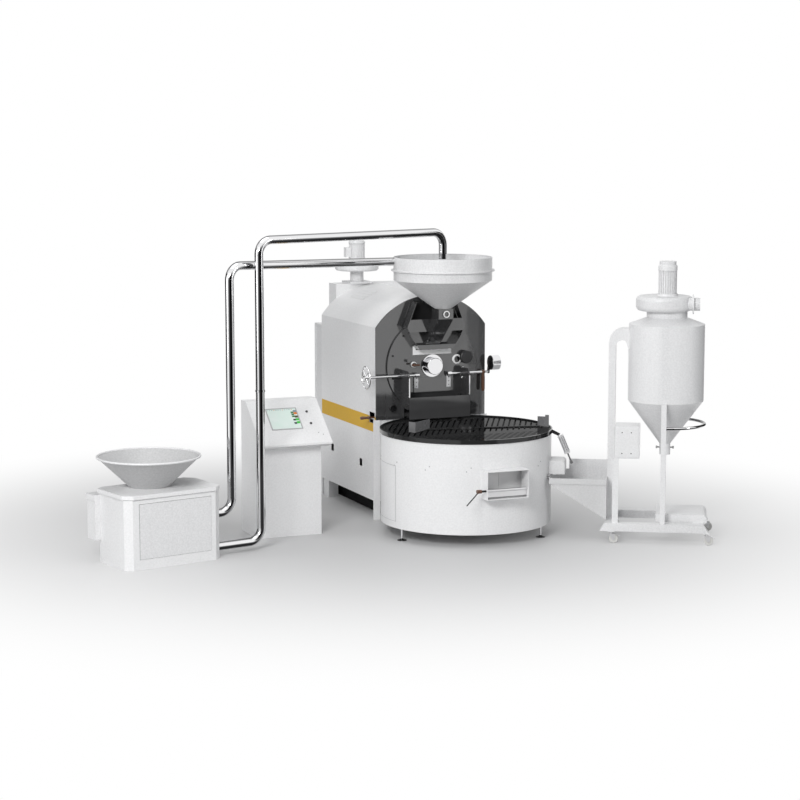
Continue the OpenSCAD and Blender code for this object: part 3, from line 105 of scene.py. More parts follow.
# Floor: one pale seamless sheet. It keeps the plant's shadow, and further out it turns into the white of
# the room.
def studio_sheet(name, corners, paint):
    mesh = bpy.data.meshes.new(name)
    mesh.from_pydata(corners, [], [(0, 1, 2, 3)])
    mesh.update()
    mesh.materials.append(paint)
    sheet = bpy.data.objects.new(name, mesh)
    bpy.context.scene.collection.objects.link(sheet)
    return sheet


floor_paint = bpy.data.materials.new("studio_floor")
floor_paint.use_nodes = True
tree = floor_paint.node_tree
paint = tree.nodes["Principled BSDF"]
paint.inputs["Base Color"].default_value = (0.56, 0.56, 0.563, 1)
paint.inputs["Roughness"].default_value = 0.55
place = add_node(tree, "TexCoord")
length = add_node(tree, "VectorMath", operation="LENGTH")
far = add_node(tree, "MapRange", {"From Min": 0.8, "From Max": 5.6}, interpolation_type="SMOOTHSTEP")
path, direct = direct_rays(tree)
shown = add_node(tree, "Math", operation="MULTIPLY")
glow = add_node(tree, "Emission")
blend = add_node(tree, "MixShader")
tree.links.new(place.outputs["Object"], length.inputs[0])
tree.links.new(length.outputs["Value"], far.inputs["Value"])
tree.links.new(direct, shown.inputs[0])
tree.links.new(far.outputs["Result"], shown.inputs[1])
tree.links.new(shown.outputs[0], blend.inputs[0])
tree.links.new(paint.outputs[0], blend.inputs[1])
tree.links.new(glow.outputs[0], blend.inputs[2])
tree.links.new(blend.outputs[0], tree.nodes["Material Output"].inputs["Surface"])
reach = 60
corners = [(x * reach, y * reach, 0) for x, y in ((-1, -1), (1, -1), (1, 1), (-1, 1))]
floor = studio_sheet("studio_floor", corners, floor_paint)
floor.location.z = -0.0005


# Lamps: a wide soft box at the front left, one overhead, and a tall strip on either side for bands of
# light on the round sheets.
def soft_box(name, where, at, size, power):
    data = bpy.data.lights.new(name, "AREA")
    data.shape = "RECTANGLE"
    data.size, data.size_y = size
    data.energy = power
    lamp = bpy.data.objects.new(name, data)
    lamp.location = where
    lamp.rotation_mode = "QUATERNION"
    lamp.rotation_quaternion = (Vector(at) - Vector(where)).to_track_quat("-Z", "Y")
    lamp.visible_camera = False
    bpy.context.scene.collection.objects.link(lamp)


soft_box("key", (-7.0, -8.5, 6.5), (0, -0.5, 0.8), (4.0, 3.0), 800)
soft_box("top", (-1.5, -1.0, 8.0), (0, 0, 0), (5.0, 4.0), 120)
soft_box("left", (-9.0, -1.5, 3.2), (0, 0, 1.0), (1.2, 4.0), 60)
soft_box("right", (7.5, -8.0, 3.2), (0.7, 0, 1.0), (0.8, 4.0), 110)

# Black cards: matt boards round the plant that only mirror rays see, so that polished metal shows dark
# bands beside the white of the room.
card_paint = bpy.data.materials.new("black_card")
card_paint.use_nodes = True
shader = card_paint.node_tree.nodes["Principled BSDF"]
shader.inputs["Base Color"].default_value = (0.01, 0.01, 0.01, 1)
shader.inputs["Roughness"].default_value = 1.0
for name, a, b, low, high in (
    ("card_front", (-2.3, -5.5), (1.9, -5.5), 0.0, 3.3),
    ("card_left", (-5.6, 0.6), (-3.6, 3.4), 0.0, 4.5),
    ("card_right", (5.6, -3.2), (5.6, 1.2), 0.0, 4.5),
    ("card_back", (-3.0, 6.5), (0.5, 6.5), 0.5, 5.0),
):
    card = studio_sheet(name, [(*a, low), (*b, low), (*b, high), (*a, high)], card_paint)
    card.visible_camera = False
    card.visible_diffuse = False
    card.visible_shadow = False
    card.visible_transmission = False


# Roaster's casing: frame, shell and rear housing are folded and welded mild steel, shot with a pale grey
# powder that melts into a fine, slightly sparkling grain. The side sheets hang on a rail whose fold shows
# low on each side.
NUMBER, COLOUR, VECTOR = "NodeSocketFloat", "NodeSocketColor", "NodeSocketVector"


def effect(name, inputs, outputs):
    """Starts a shader node group with named inputs and outputs."""
    made = bpy.data.node_groups.new(name, "ShaderNodeTree")
    for label, kind, value in inputs:
        socket = made.interface.new_socket(name=label, in_out="INPUT", socket_type=kind)
        socket.default_value = value
    for label, kind in outputs:
        made.interface.new_socket(name=label, in_out="OUTPUT", socket_type=kind)
    return made, made.nodes.new("NodeGroupInput"), made.nodes.new("NodeGroupOutput")


powder_grain, given, made = effect(
    "powder_grain",
    [("Colour", COLOUR, (0.8, 0.8, 0.8, 1)), ("Dark", NUMBER, 0.9), ("Light", NUMBER, 1.06),
     ("Roughness", NUMBER, 0.4)],
    [("Colour", COLOUR), ("Roughness", NUMBER), ("Height", NUMBER)],
)
place = add_node(powder_grain, "TexCoord")
coarse = add_node(powder_grain, "TexNoise", {"Scale": 65, "Detail": 3, "Roughness": 0.75})
fine = add_node(powder_grain, "TexNoise", {"Scale": 420, "Detail": 2})
wide = add_node(powder_grain, "TexNoise", {"Scale": 3.5, "Detail": 4})
for noise in (coarse, fine, wide):
    powder_grain.links.new(place.outputs["Object"], noise.inputs["Vector"])
spread = add_node(powder_grain, "MapRange", {"From Min": 0.34, "From Max": 0.66})
shade = add_node(powder_grain, "VectorMath", operation="SCALE")
rough = add_node(powder_grain, "Math", {1: 0.16}, operation="MULTIPLY_ADD")
powder_grain.links.new(coarse.outputs["Fac"], spread.inputs["Value"])
powder_grain.links.new(given.outputs["Dark"], spread.inputs["To Min"])
powder_grain.links.new(given.outputs["Light"], spread.inputs["To Max"])
powder_grain.links.new(given.outputs["Colour"], shade.inputs[0])
powder_grain.links.new(spread.outputs["Result"], shade.inputs["Scale"])
powder_grain.links.new(shade.outputs["Vector"], made.inputs["Colour"])
powder_grain.links.new(wide.outputs["Fac"], rough.inputs[0])
powder_grain.links.new(given.outputs["Roughness"], rough.inputs[2])
powder_grain.links.new(rough.outputs[0], made.inputs["Roughness"])
powder_grain.links.new(fine.outputs["Fac"], made.inputs["Height"])

edge_wear, given, made = effect(
    "edge_wear",
    [("Colour", COLOUR, (0.8, 0.8, 0.8, 1)), ("Worn", COLOUR, (0.9, 0.9, 0.9, 1)), ("Amount", NUMBER, 0.5)],
    [("Colour", COLOUR)],
)
shape = add_node(edge_wear, "NewGeometry")
sharp = add_node(edge_wear, "MapRange", {"From Min": 0.52, "From Max": 0.60})
part = add_node(edge_wear, "Math", operation="MULTIPLY")
over = add_node(edge_wear, "Mix", data_type="RGBA")
edge_wear.links.new(shape.outputs["Pointiness"], sharp.inputs["Value"])
edge_wear.links.new(sharp.outputs["Result"], part.inputs[0])
edge_wear.links.new(given.outputs["Amount"], part.inputs[1])
edge_wear.links.new(part.outputs[0], over.inputs[0])
edge_wear.links.new(given.outputs["Colour"], over.inputs[6])
edge_wear.links.new(given.outputs["Worn"], over.inputs[7])
edge_wear.links.new(over.outputs[2], made.inputs["Colour"])


def finish_paint(name, metallic=0.0, specular=0.5, coat=0.0, coat_rough=0.1, bump=0.15):
    """Starts a finish and gives its shader and the bump node that its grain goes into."""
    mat = bpy.data.materials.new(name)
    mat.use_nodes = True
    shader = mat.node_tree.nodes["Principled BSDF"]
    shader.inputs["Metallic"].default_value = metallic
    shader.inputs["Specular IOR Level"].default_value = specular
    shader.inputs["Coat Weight"].default_value = coat
    shader.inputs["Coat Roughness"].default_value = coat_rough
    raised = add_node(mat.node_tree, "Bump", {"Strength": bump, "Distance": 0.0008})
    mat.node_tree.links.new(raised.outputs["Normal"], shader.inputs["Normal"])
    return mat, shader, raised


def powder(name, colour, dark, light, roughness, coat=0.0, worn=(0.92, 0.92, 0.92, 1), wear=0.35,
           specular=0.5):
    mat, shader, raised = finish_paint(name, coat=coat, coat_rough=0.24, specular=specular)
    tree = mat.node_tree
    grain = add_node(tree, "Group", node_tree=powder_grain)
    for label, value in (("Colour", colour), ("Dark", dark), ("Light", light), ("Roughness", roughness)):
        grain.inputs[label].default_value = value
    edges = add_node(tree, "Group", node_tree=edge_wear)
    edges.inputs["Worn"].default_value = worn
    edges.inputs["Amount"].default_value = wear
    tree.links.new(grain.outputs["Colour"], edges.inputs["Colour"])
    tree.links.new(edges.outputs["Colour"], shader.inputs["Base Color"])
    tree.links.new(grain.outputs["Roughness"], shader.inputs["Roughness"])
    tree.links.new(grain.outputs["Height"], raised.inputs["Height"])
    return mat


def dress(node, *mats):
    """Gives a CAD node its finishes. Its faces have the first one until they are told otherwise."""
    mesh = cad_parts[node].data
    mesh.materials.clear()
    for mat in mats:
        mesh.materials.append(mat)
    return mesh


def folded(bm, low, high, edge=0.001, turn=None, index=0):
    """Adds a sheet or bar with softly broken edges. turn moves it from its own frame to the plant's."""
    low, high = Vector(low), Vector(high)
    made = bmesh.ops.create_cube(bm, size=1)["verts"]
    for v in made:
        v.co = Vector(((low[i] + high[i]) / 2 + v.co[i] * (high[i] - low[i]) for i in range(3)))
    edges = list({e for v in made for e in v.link_edges})
    cut = bmesh.ops.bevel(bm, geom=edges, offset=edge, segments=2, affect="EDGES")
    corners = {v for f in cut["faces"] for v in f.verts} | {v for v in made if v.is_valid}
    faces = {f for v in corners for f in v.link_faces}
    for face in faces:
        face.material_index = index
    if turn is not None:
        for v in {v for f in faces for v in f.verts}:
            v.co = turn @ v.co


def join(bm, name, mats, body, crease=0.6):
    """Makes a piece of the mesh, smooth up to the crease angle, and has it ride on a body."""
    for edge in bm.edges:
        edge.smooth = len(edge.link_faces) == 2 and edge.calc_face_angle(0) < crease
    for face in bm.faces:
        face.smooth = True
    mesh = bpy.data.meshes.new(name)
    bm.to_mesh(mesh)
    bm.free()
    for mat in mats if isinstance(mats, tuple) else (mats,):
        mesh.materials.append(mat)
    made = bpy.data.objects.new(name, mesh)
    bpy.context.scene.collection.objects.link(made)
    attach(made, body)
    return made


white_powder = powder("white_powder", (0.74, 0.74, 0.745, 1), 0.92, 1.06, 0.27, specular=0.42)
for node in ("roaster_frame", "roaster_shell", "rear_housing"):
    dress(node, white_powder)
casing_back = 1.396
bm = bmesh.new()
for x in (0.1335, 1.2450):
    folded(bm, (x, roaster.y + 0.002, 0.214), (x + 0.0015, roaster.y + casing_back, 0.219), edge=0.0004)
join(bm, "casing_fold", white_powder, "plant")

# Roof: the extraction fan's pressed volute and finned motor stand on the rear housing, and four pressed
# louvre blades, welded along one edge, shield the vents on the left of the arch.
for node in ("roof_fan_housing", "roof_fan_motor"):
    dress(node, white_powder)
arch_radius, arch_axis_z = 0.676, 1.409
blade_lean = math.radians(9)
bm = bmesh.new()
for x in (-0.346, -0.304, -0.262, -0.220):
    level = math.sqrt(arch_radius ** 2 - x * x)
    lean = Matrix.Translation(roaster + Vector((x, 0, arch_axis_z + level)))
    lean = lean @ Matrix.Rotation(-math.atan2(-x, level) - blade_lean, 4, "Y")
    folded(bm, (-0.015, 0.800, 0.0025), (0.015, 1.130, 0.0045), edge=0.0008, turn=lean)
join(bm, "roof_louvres", white_powder, "plant")

# Colour stripe: a folded strip of the same sheet along each side of the casing, in yellow enamel. It
# carries no lettering.
yellow_enamel = powder("yellow_enamel", (0.66, 0.37, 0.016, 1), 0.93, 1.05, 0.34, specular=0.05,
                       worn=(0.72, 0.5, 0.12, 1))
dress("side_stripes", yellow_enamel)

# Front: the plate with its round face, the throat, the feed chute and the box over the tray are heavy
# plate in glossy graphite enamel, which mirrors the room. Hands leave soft marks on it. The bolts are
# blackened.
smudge, given, made = effect(
    "smudge",
    [("Clean", NUMBER, 0.1), ("Marked", NUMBER, 0.3), ("Scale", NUMBER, 6.0)],
    [("Roughness", NUMBER), ("Height", NUMBER)],
)
place = add_node(smudge, "TexCoord")
cloud = add_node(smudge, "TexNoise", {"Detail": 5, "Roughness": 0.62})
spread = add_node(smudge, "MapRange", {"From Min": 0.42, "From Max": 0.72})
smudge.links.new(place.outputs["Object"], cloud.inputs["Vector"])
smudge.links.new(given.outputs["Scale"], cloud.inputs["Scale"])
smudge.links.new(cloud.outputs["Fac"], spread.inputs["Value"])
smudge.links.new(given.outputs["Clean"], spread.inputs["To Min"])
smudge.links.new(given.outputs["Marked"], spread.inputs["To Max"])
smudge.links.new(spread.outputs["Result"], made.inputs["Roughness"])
smudge.links.new(cloud.outputs["Fac"], made.inputs["Height"])


def enamel(name, colour, worn, clean=0.10, marked=0.24, metallic=0.0, specular=0.5, coat=0.0, wear=0.3,
           scale=6.0, tint=1.0):
    mat, shader, raised = finish_paint(name, metallic=metallic, specular=specular, coat=coat, bump=0.04)
    shader.inputs["Specular Tint"].default_value = (tint, tint, tint, 1)
    tree = mat.node_tree
    marks = add_node(tree, "Group", node_tree=smudge)
    for label, value in (("Clean", clean), ("Marked", marked), ("Scale", scale)):
        marks.inputs[label].default_value = value
    edges = add_node(tree, "Group", node_tree=edge_wear)
    for label, value in (("Colour", colour), ("Worn", worn), ("Amount", wear)):
        edges.inputs[label].default_value = value
    tree.links.new(edges.outputs["Colour"], shader.inputs["Base Color"])
    tree.links.new(marks.outputs["Roughness"], shader.inputs["Roughness"])
    tree.links.new(marks.outputs["Height"], raised.inputs["Height"])
    return mat


graphite = enamel("graphite_enamel", (0.042, 0.042, 0.043, 1), (0.06, 0.06, 0.062, 1), clean=0.05,
                  marked=0.10, specular=1.0, coat=1.0)
chute_enamel = enamel("chute_enamel", (0.050, 0.050, 0.051, 1), (0.06, 0.06, 0.062, 1), clean=0.07,
                      marked=0.14, specular=0.7, coat=0.2)
black_oxide = enamel("black_oxide", (0.004, 0.004, 0.0045, 1), (0.03, 0.03, 0.03, 1), clean=0.35,
                     marked=0.5, specular=0.3)
for node in ("throat_box", "feed_chute"):
    dress(node, graphite)
dress("discharge_chute", chute_enamel)
dress("face_bolts", black_oxide)
drum_axis_z = 1.425
disc_radius = 0.450
disc_proud = 0.02
# The round face's edge is painted black as shade, for the dark groove round the face.
mesh = dress("front_plate", graphite, black_oxide)
for face in mesh.polygons:
    away = Vector((face.center.x - roaster.x, face.center.z - drum_axis_z)).length
    on_shaded_disc_edge = abs(away - disc_radius) < 0.004 and face.center.y < roaster.y - disc_proud
    if abs(face.normal.y) < 0.1 and on_shaded_disc_edge:
        face.material_index = 1

# Hood: a thin black sheet sits in the graphite hood over the round face and closes its upper half behind
# the sloping duct. It is painted shade, for the dark inside of the hood.
# This black is painted shade in the hood and painted reflection on the tray's rim.
painted_shade_and_reflection_black = enamel("painted_shade_and_reflection_black", (0.010, 0.010, 0.0105, 1), (0.05, 0.05, 0.05, 1), clean=0.05, marked=0.12,
                    specular=0.35)
hood_shade_outline = ((-0.192, 2.030), (-0.284, 1.799), (-0.264, 1.757), (0.264, 1.757), (0.284, 1.799), (0.192, 2.030))
bm = bmesh.new()
front, back = [[bm.verts.new(roaster + Vector((x, y, z))) for x, z in hood_shade_outline] for y in (-0.0365, -0.0350)]
bm.faces.new(front)
bm.faces.new(back[::-1])
for k in range(len(hood_shade_outline)):
    on = (k + 1) % len(hood_shade_outline)
    bm.faces.new((front[k], back[k], back[on], front[on]))
bmesh.ops.recalc_face_normals(bm, faces=bm.faces)
join(bm, "hood_painted_shade", painted_shade_and_reflection_black, "plant")

# Underside: a black pan of bent sheet hangs in the frame and closes the casing from below, and a black
# screen stands behind the feet. Both are painted shade, for the dark under the casing.
slot_shade = enamel("slot_shade", (0.004, 0.004, 0.0045, 1), (0.004, 0.004, 0.0045, 1), clean=0.6, marked=0.7,
                    specular=0.05)
bm = bmesh.new()
folded(bm, (0.200, roaster.y + 0.065, 0.2184), (1.180, roaster.y + 1.330, 0.2204), edge=0.0005)
join(bm, "under_shade_pan", black_oxide, "plant")
bm = bmesh.new()
folded(bm, roaster + Vector((-0.420, 0.150, 0.010)), roaster + Vector((-0.418, 1.330, 0.2180)), edge=0.0005)
join(bm, "under_shade_screen", slot_shade, "plant")

# Feed hopper: a spun cone with a rolled band, in the casing's powder. Its gate slides in the throat under
# it, in graphite with a white enamelled ring, and the bracket that holds the chute is white too.
ring_enamel = powder("ring_enamel", (0.93, 0.93, 0.93, 1), 0.98, 1.01, 0.25, coat=0.4)
dress("feed_hopper", white_powder)
dress("chute_bracket", ring_enamel)
gate_face = 0.3552
mesh = dress("hopper_gate", graphite, ring_enamel)
for face in mesh.polygons:
    if face.center.y < roaster.y - gate_face:
        face.material_index = 1

# Sight glass and porthole: dark glass clamped to the front, the glass by a white enamelled ring and the
# porthole by a blackened one. A black moulded lamp shines in beside the glass.
dark_glass = enamel("dark_glass", (0.010, 0.010, 0.011, 1), (0.03, 0.03, 0.03, 1), clean=0.03, marked=0.08,
                    specular=0.6, coat=0.5)
black_nylon = enamel("black_nylon", (0.020, 0.020, 0.021, 1), (0.06, 0.06, 0.06, 1), clean=0.38, marked=0.55)
dress("lamp", black_nylon)
porthole, porthole_glass = Vector((roaster.x - 0.389, 1.041)), 0.0255
sight, sight_glass = Vector((roaster.x + 0.252, 1.474)), 0.0305
mesh = dress("sight_rings", ring_enamel, dark_glass, black_oxide)
for face in mesh.polygons:
    at_porthole = face.center.x < roaster.x
    middle, glass = (porthole, porthole_glass) if at_porthole else (sight, sight_glass)
    away = (Vector((face.center.x, face.center.z)) - middle).length
    if away < glass:
        face.material_index = 1
    elif at_porthole:
        face.material_index = 2

# Bearing and handwheel: turned from stainless bar and buffed until they mirror the room. The cap is bolted
# over the drum's front bearing, and the wheel turns with its rod in the chute's left cheek.
polished = enamel("polished_steel", (0.83, 0.83, 0.84, 1), (0.95, 0.95, 0.95, 1), clean=0.03, marked=0.07,
                  metallic=1.0, wear=0.0)
for node in ("front_bearing", "handwheel"):
    dress(node, polished)

# Drum: rolled from steel plate and welded to its shaft, with fine scratches drawn along it, and dark from
# heat and beans.
brushed, given, made = effect(
    "brushed", [("Low", NUMBER, 0.2), ("High", NUMBER, 0.4)], [("Roughness", NUMBER), ("Height", NUMBER)]
)
place = add_node(brushed, "TexCoord")
drawn = add_node(brushed, "Mapping", {"Scale": (12, 700, 700)})
lines = add_node(brushed, "TexNoise", {"Scale": 1, "Detail": 3})
spread = add_node(brushed, "MapRange")
brushed.links.new(place.outputs["Object"], drawn.inputs["Vector"])
brushed.links.new(drawn.outputs["Vector"], lines.inputs["Vector"])
brushed.links.new(lines.outputs["Fac"], spread.inputs["Value"])
brushed.links.new(given.outputs["Low"], spread.inputs["To Min"])
brushed.links.new(given.outputs["High"], spread.inputs["To Max"])
brushed.links.new(spread.outputs["Result"], made.inputs["Roughness"])
brushed.links.new(lines.outputs["Fac"], made.inputs["Height"])


def satin(name, colour, low, high):
    mat, shader, raised = finish_paint(name, metallic=1.0, bump=0.08)
    tree = mat.node_tree
    lines = add_node(tree, "Group", node_tree=brushed)
    for label, value in (("Low", low), ("High", high)):
        lines.inputs[label].default_value = value
    edges = add_node(tree, "Group", node_tree=edge_wear)
    for label, value in (("Colour", colour), ("Worn", (0.9, 0.9, 0.9, 1)), ("Amount", 0.3)):
        edges.inputs[label].default_value = value
    tree.links.new(edges.outputs["Colour"], shader.inputs["Base Color"])
    tree.links.new(lines.outputs["Roughness"], shader.inputs["Roughness"])
    tree.links.new(lines.outputs["Height"], raised.inputs["Height"])
    return mat


dark_steel = satin("dark_steel", (0.24, 0.24, 0.245, 1), 0.25, 0.45)
dress("drum", dark_steel)


# Discharge door: plate in the front's graphite, hung by two white straps with three black screws each from
# a polished shaft, whose arm carries a polished counterweight with a black inner end.
def circle(steps):
    return [(math.cos(2 * math.pi * k / steps), math.sin(2 * math.pi * k / steps)) for k in range(steps)]


def turned(bm, outline, where, along, steps=20):
    """Adds a turned shape. outline is a list of radius and height, along its axis."""
    spin = Vector(along).to_track_quat("Z", "Y").to_matrix().to_4x4()
    rings = []
    for radius, height in outline:
        round_spots = circle(steps) if radius else [(0, 0)]
        spots = [Vector((radius * x, radius * y, height)) for x, y in round_spots]
        rings.append([bm.verts.new(Vector(where) + spin @ spot) for spot in spots])
    for a, b in zip(rings, rings[1:]):
        for k in range(steps):
            on = k + 1
            corners = dict.fromkeys((a[k % len(a)], a[on % len(a)], b[on % len(b)], b[k % len(b)]))
            if len(corners) > 2:
                bm.faces.new(list(corners))


def screws(name, places, radius, height, mat, body):
    """Makes pan heads with a round recess. places is a list of a point and the way that the head faces."""
    outline = [(0, 0), (radius, 0), (radius, height * 0.45), (radius * 0.85, height * 0.85),
               (radius * 0.55, height), (radius * 0.45, height * 0.5), (0, height * 0.5)]
    bm = bmesh.new()
    for where, out in places:
        turned(bm, outline, where, out, steps=12)
    return join(bm, name, mat, body)


strap_half = 0.19
strap_front = 0.0455
shaft_under = 1.33
weight_black_from, weight_from = 0.562, 0.575
mesh = dress("discharge_door", graphite, white_powder, polished, black_oxide)
for face in mesh.polygons:
    spot = face.center
    off = spot.x - roaster.x
    if off > weight_from:
        face.material_index = 2
    elif off > weight_black_from:
        face.material_index = 3
    elif spot.y < roaster.y - strap_front and spot.z < shaft_under and abs(off) < strap_half:
        face.material_index = 1
    elif spot.z > shaft_under or abs(off) > strap_half:
        face.material_index = 2
places = [(roaster + Vector((x, -0.0503, z)), (0, -1, 0)) for x in (-0.165, 0.165)
          for z in (1.312, 1.276, 1.240)]
screws("strap_screws", places, 0.0045, 0.0022, black_oxide, "door")

# Cheeks of the discharge chute: a polished edging down the front of each, held by eight zinc plated
# screws, and two small latches on the right one, each a bent rod on a plate.
zinc = satin("zinc_plate", (0.42, 0.42, 0.43, 1), 0.3, 0.5)
cheek_in = 0.2998
bm = bmesh.new()
for x in (-0.309, 0.299):
    foot, head = roaster + Vector((x, -0.2186, 1.160)), roaster + Vector((x + 0.010, -0.2172, 1.338))
    folded(bm, foot, head, edge=0.0005)
for z in (1.398, 1.305):
    folded(bm, roaster + Vector((0.2965, -0.095, z - 0.016)), roaster + Vector((cheek_in, -0.055, z - 0.010)),
           edge=0.0008)
    turned(bm, [(0.008, 0), (0.014, 0), (0.014, 0.006), (0.008, 0.006), (0.008, 0)],
           roaster + Vector((cheek_in, -0.066, z)), (-1, 0, 0))
    turned(bm, [(0, 0), (0.004, 0), (0.004, 0.020), (0, 0.020)],
           roaster + Vector((cheek_in, -0.090, z + 0.006)), (-1, 0, 0), steps=12)
join(bm, "cheek_edging", polished, "plant")
places = [(roaster + Vector((x, -0.204, 1.170 + 0.026 * k)), (-1, 0, 0)) for x in (-0.308, 0.300)
          for k in range(8)]
screws("cheek_screws", places, 0.0032, 0.0016, zinc, "plant")

# Grips of the door, the sampling spoon and the damper: turned beech, stained dark and varnished, with
# growth rings that run along each. The spoon slides in a white enamelled collar.
stained_wood = {}
for node, along in (("door_grip", "Z"), ("trier", "X"), ("damper_lever", "X")):
    mat, shader, raised = finish_paint("stained_wood_" + along + node[:1], coat=0.4, coat_rough=0.15,
                                       bump=0.2)
    shader.inputs["Roughness"].default_value = 0.38
    tree = mat.node_tree
    place = add_node(tree, "TexCoord")
    pull = add_node(tree, "Mapping", {"Scale": (1, 1, 0.08) if along == "Z" else (0.08, 1, 1)})
    rings = add_node(tree, "TexNoise", {"Scale": 160, "Detail": 4, "Distortion": 0.6})
    stain = add_node(tree, "ValToRGB")
    stain.color_ramp.elements[0].position = 0.35
    stain.color_ramp.elements[0].color = (0.060, 0.022, 0.010, 1)
    stain.color_ramp.elements[1].position = 0.68
    stain.color_ramp.elements[1].color = (0.165, 0.070, 0.034, 1)
    tree.links.new(place.outputs["Object"], pull.inputs["Vector"])
    tree.links.new(pull.outputs["Vector"], rings.inputs["Vector"])
    tree.links.new(rings.outputs["Fac"], stain.inputs["Fac"])
    tree.links.new(stain.outputs["Color"], shader.inputs["Base Color"])
    tree.links.new(rings.outputs["Fac"], raised.inputs["Height"])
    dress(node, mat)
    stained_wood[node] = mat
bm = bmesh.new()
collar = [(0.0203, 0), (0.028, 0), (0.028, 0.020), (0.0245, 0.027), (0.0203, 0.027), (0.0203, 0)]
turned(bm, collar, roaster + Vector((-0.190, -0.0342, 1.443)), (0, -1, 0), steps=28)
join(bm, "trier_collar", ring_enamel, "plant")

# Cooling tray: a rolled wall, held by pairs of zinc plated screws, with a black rim round a floor of
# perforated plate that the beans polish nearly black. The rim's black is painted reflection, the dark
# that its bright steel mirrors. The agitator's arms are as dark, its blades greyer.
# The levelling feet have polished stems on black discs.
tray = roaster + Vector((0, -0.800, 0))
tray_radius = 0.770


def at_wall(angle, radius, z):
    turn = math.radians(angle)
    return tray + Vector((radius * math.cos(turn), radius * math.sin(turn), z))


for node in ("tray_wall", "outlet_box"):
    dress(node, white_powder)
tray_polish = enamel("tray_polish", (0.20, 0.20, 0.204, 1), (0.3, 0.3, 0.3, 1), clean=0.04, marked=0.10,
                     metallic=0.85, scale=4.0, tint=0.10)
mesh = dress("tray_floor", tray_polish, slot_shade)
# The slots' walls are painted black as shade, so that the slots look dark.
for face in mesh.polygons:
    if abs(face.normal.z) < 0.5:
        face.material_index = 1
# The rim is painted black as the dark reflection of bright steel.
dress("tray_rim", painted_shade_and_reflection_black)
arms_top = 0.966
blade_steel = enamel("blade_steel", (0.13, 0.13, 0.135, 1), (0.25, 0.25, 0.25, 1), clean=0.22, marked=0.36,
                     specular=0.6)
mesh = dress("agitator", blade_steel, tray_polish)
for face in mesh.polygons:
    if face.center.z < arms_top:
        face.material_index = 1
foot_disc_top = 0.030
mesh = dress("tray_feet", polished, black_oxide)
for face in mesh.polygons:
    if face.center.z < foot_disc_top:
        face.material_index = 1

window_angle, window_clear = -90, 17
outlet_angle, outlet_clear = -30.5, 14
screw_pairs, first_pair = 13, -168.2
places = []
for i in range(screw_pairs):
    turn = first_pair + i * 360 / screw_pairs
    for step, z in ((-1.3, 0.673), (1.7, 0.706)):
        near_window = abs(turn + step - window_angle) < window_clear
        near_outlet = abs(turn + step - outlet_angle) < outlet_clear
        if not near_window and not near_outlet:
            where = at_wall(turn + step, tray_radius, z)
            places.append((where, where - tray - Vector((0, 0, z))))
screws("tray_wall_screws", places, 0.006, 0.0028, zinc, "plant")
# A black disc just under the perforated floor is painted shade, seen dark through the slots.
disc = [(0.048, 0), (0.744, 0), (0.744, 0.001), (0.048, 0.001), (0.048, 0)]
bm = bmesh.new()
turned(bm, disc, tray + Vector((0, 0, 0.9268)), (0, 0, 1), steps=72)
join(bm, "tray_shade", slot_shade, "plant")


# Access cover on the left of the tray: a curved sheet in the wall's powder that lies on the wall, with a
# dark joint round it. On the right, a riveted plate with two pins latches the destoner to the wall.
def curved_sheet(bm, first, last, radius, thick, low, high, index=0, steps=24):
    section = ((radius, low), (radius + thick, low), (radius + thick, high), (radius, high))
    columns = []
    for k in range(steps + 1):
        angle = first + (last - first) * k / steps
        columns.append([bm.verts.new(at_wall(angle, r, z)) for r, z in section])
    for a, b in zip(columns, columns[1:]):
        for k in range(4):
            bm.faces.new((a[k], a[(k + 1) % 4], b[(k + 1) % 4], b[k])).material_index = index
    bm.faces.new(columns[0][::-1]).material_index = index
    bm.faces.new(columns[-1]).material_index = index


bm = bmesh.new()
curved_sheet(bm, 163.4, 192.2, tray_radius + 0.0001, 0.0006, 0.171, 0.673, index=1)
curved_sheet(bm, 163.7, 191.8, tray_radius + 0.0003, 0.0020, 0.175, 0.669)
bmesh.ops.recalc_face_normals(bm, faces=bm.faces)
join(bm, "tray_access_cover", (white_powder, zinc), "plant")

latch_angle = -43.6
spin = Matrix.Translation(at_wall(latch_angle, tray_radius + 0.001, 0.549))
spin = spin @ Matrix.Rotation(math.radians(latch_angle), 4, "Z")
pin = [(0, 0), (0.006, 0), (0.006, 0.022), (0.004, 0.026), (0, 0.026)]
off_wall = spin.to_3x3() @ Vector((1, 0, 0))
bm = bmesh.new()
folded(bm, (0, -0.022, -0.020), (0.004, 0.022, 0.020), turn=spin)
for z in (0.011, -0.011):
    turned(bm, pin, spin @ Vector((0.004, -0.010, z)), off_wall)
join(bm, "tray_latch", zinc, "plant")

# Window of the tray: a box of white sheet with a narrow flange in front. A satin steel flap hangs in it on
# a shaft with a thin black pin, and turns by a knob of stained wood. Behind it the air guide is two sheets
# that meet at a seam.
dress("tray_window", white_powder)
satin_steel = satin("satin_steel", (0.66, 0.66, 0.67, 1), 0.22, 0.42)
flap_axis = Vector((tray.y - 0.855, 0.520))
knob_from, knob_to, knob_radius = 0.404, 0.448, 0.0185
window_left = 0.490
mesh = dress("tray_flap", satin_steel, stained_wood["trier"], black_oxide)
for face in mesh.polygons:
    spot = face.center
    if knob_from < spot.x < knob_to and (Vector((spot.y, spot.z)) - flap_axis).length < knob_radius:
        face.material_index = 1
    elif spot.x < window_left:
        face.material_index = 2
window_low, window_high = 0.441, 0.691
half_out, half_in = 0.198, 0.194
lip = 0.007
bm = bmesh.new()
for x0, z0, x1, z1 in (
    (-half_out, window_low, -half_in, window_high),
    (half_in, window_low, half_out, window_high),
    (-half_in, window_high - lip, half_in, window_high),
    (-half_in, window_low, half_in, window_low + lip),
):
    folded(bm, tray + Vector((x0, -0.888, z0)), tray + Vector((x1, -0.885, z1)), edge=0.0008)
join(bm, "window_flange", white_powder, "plant")
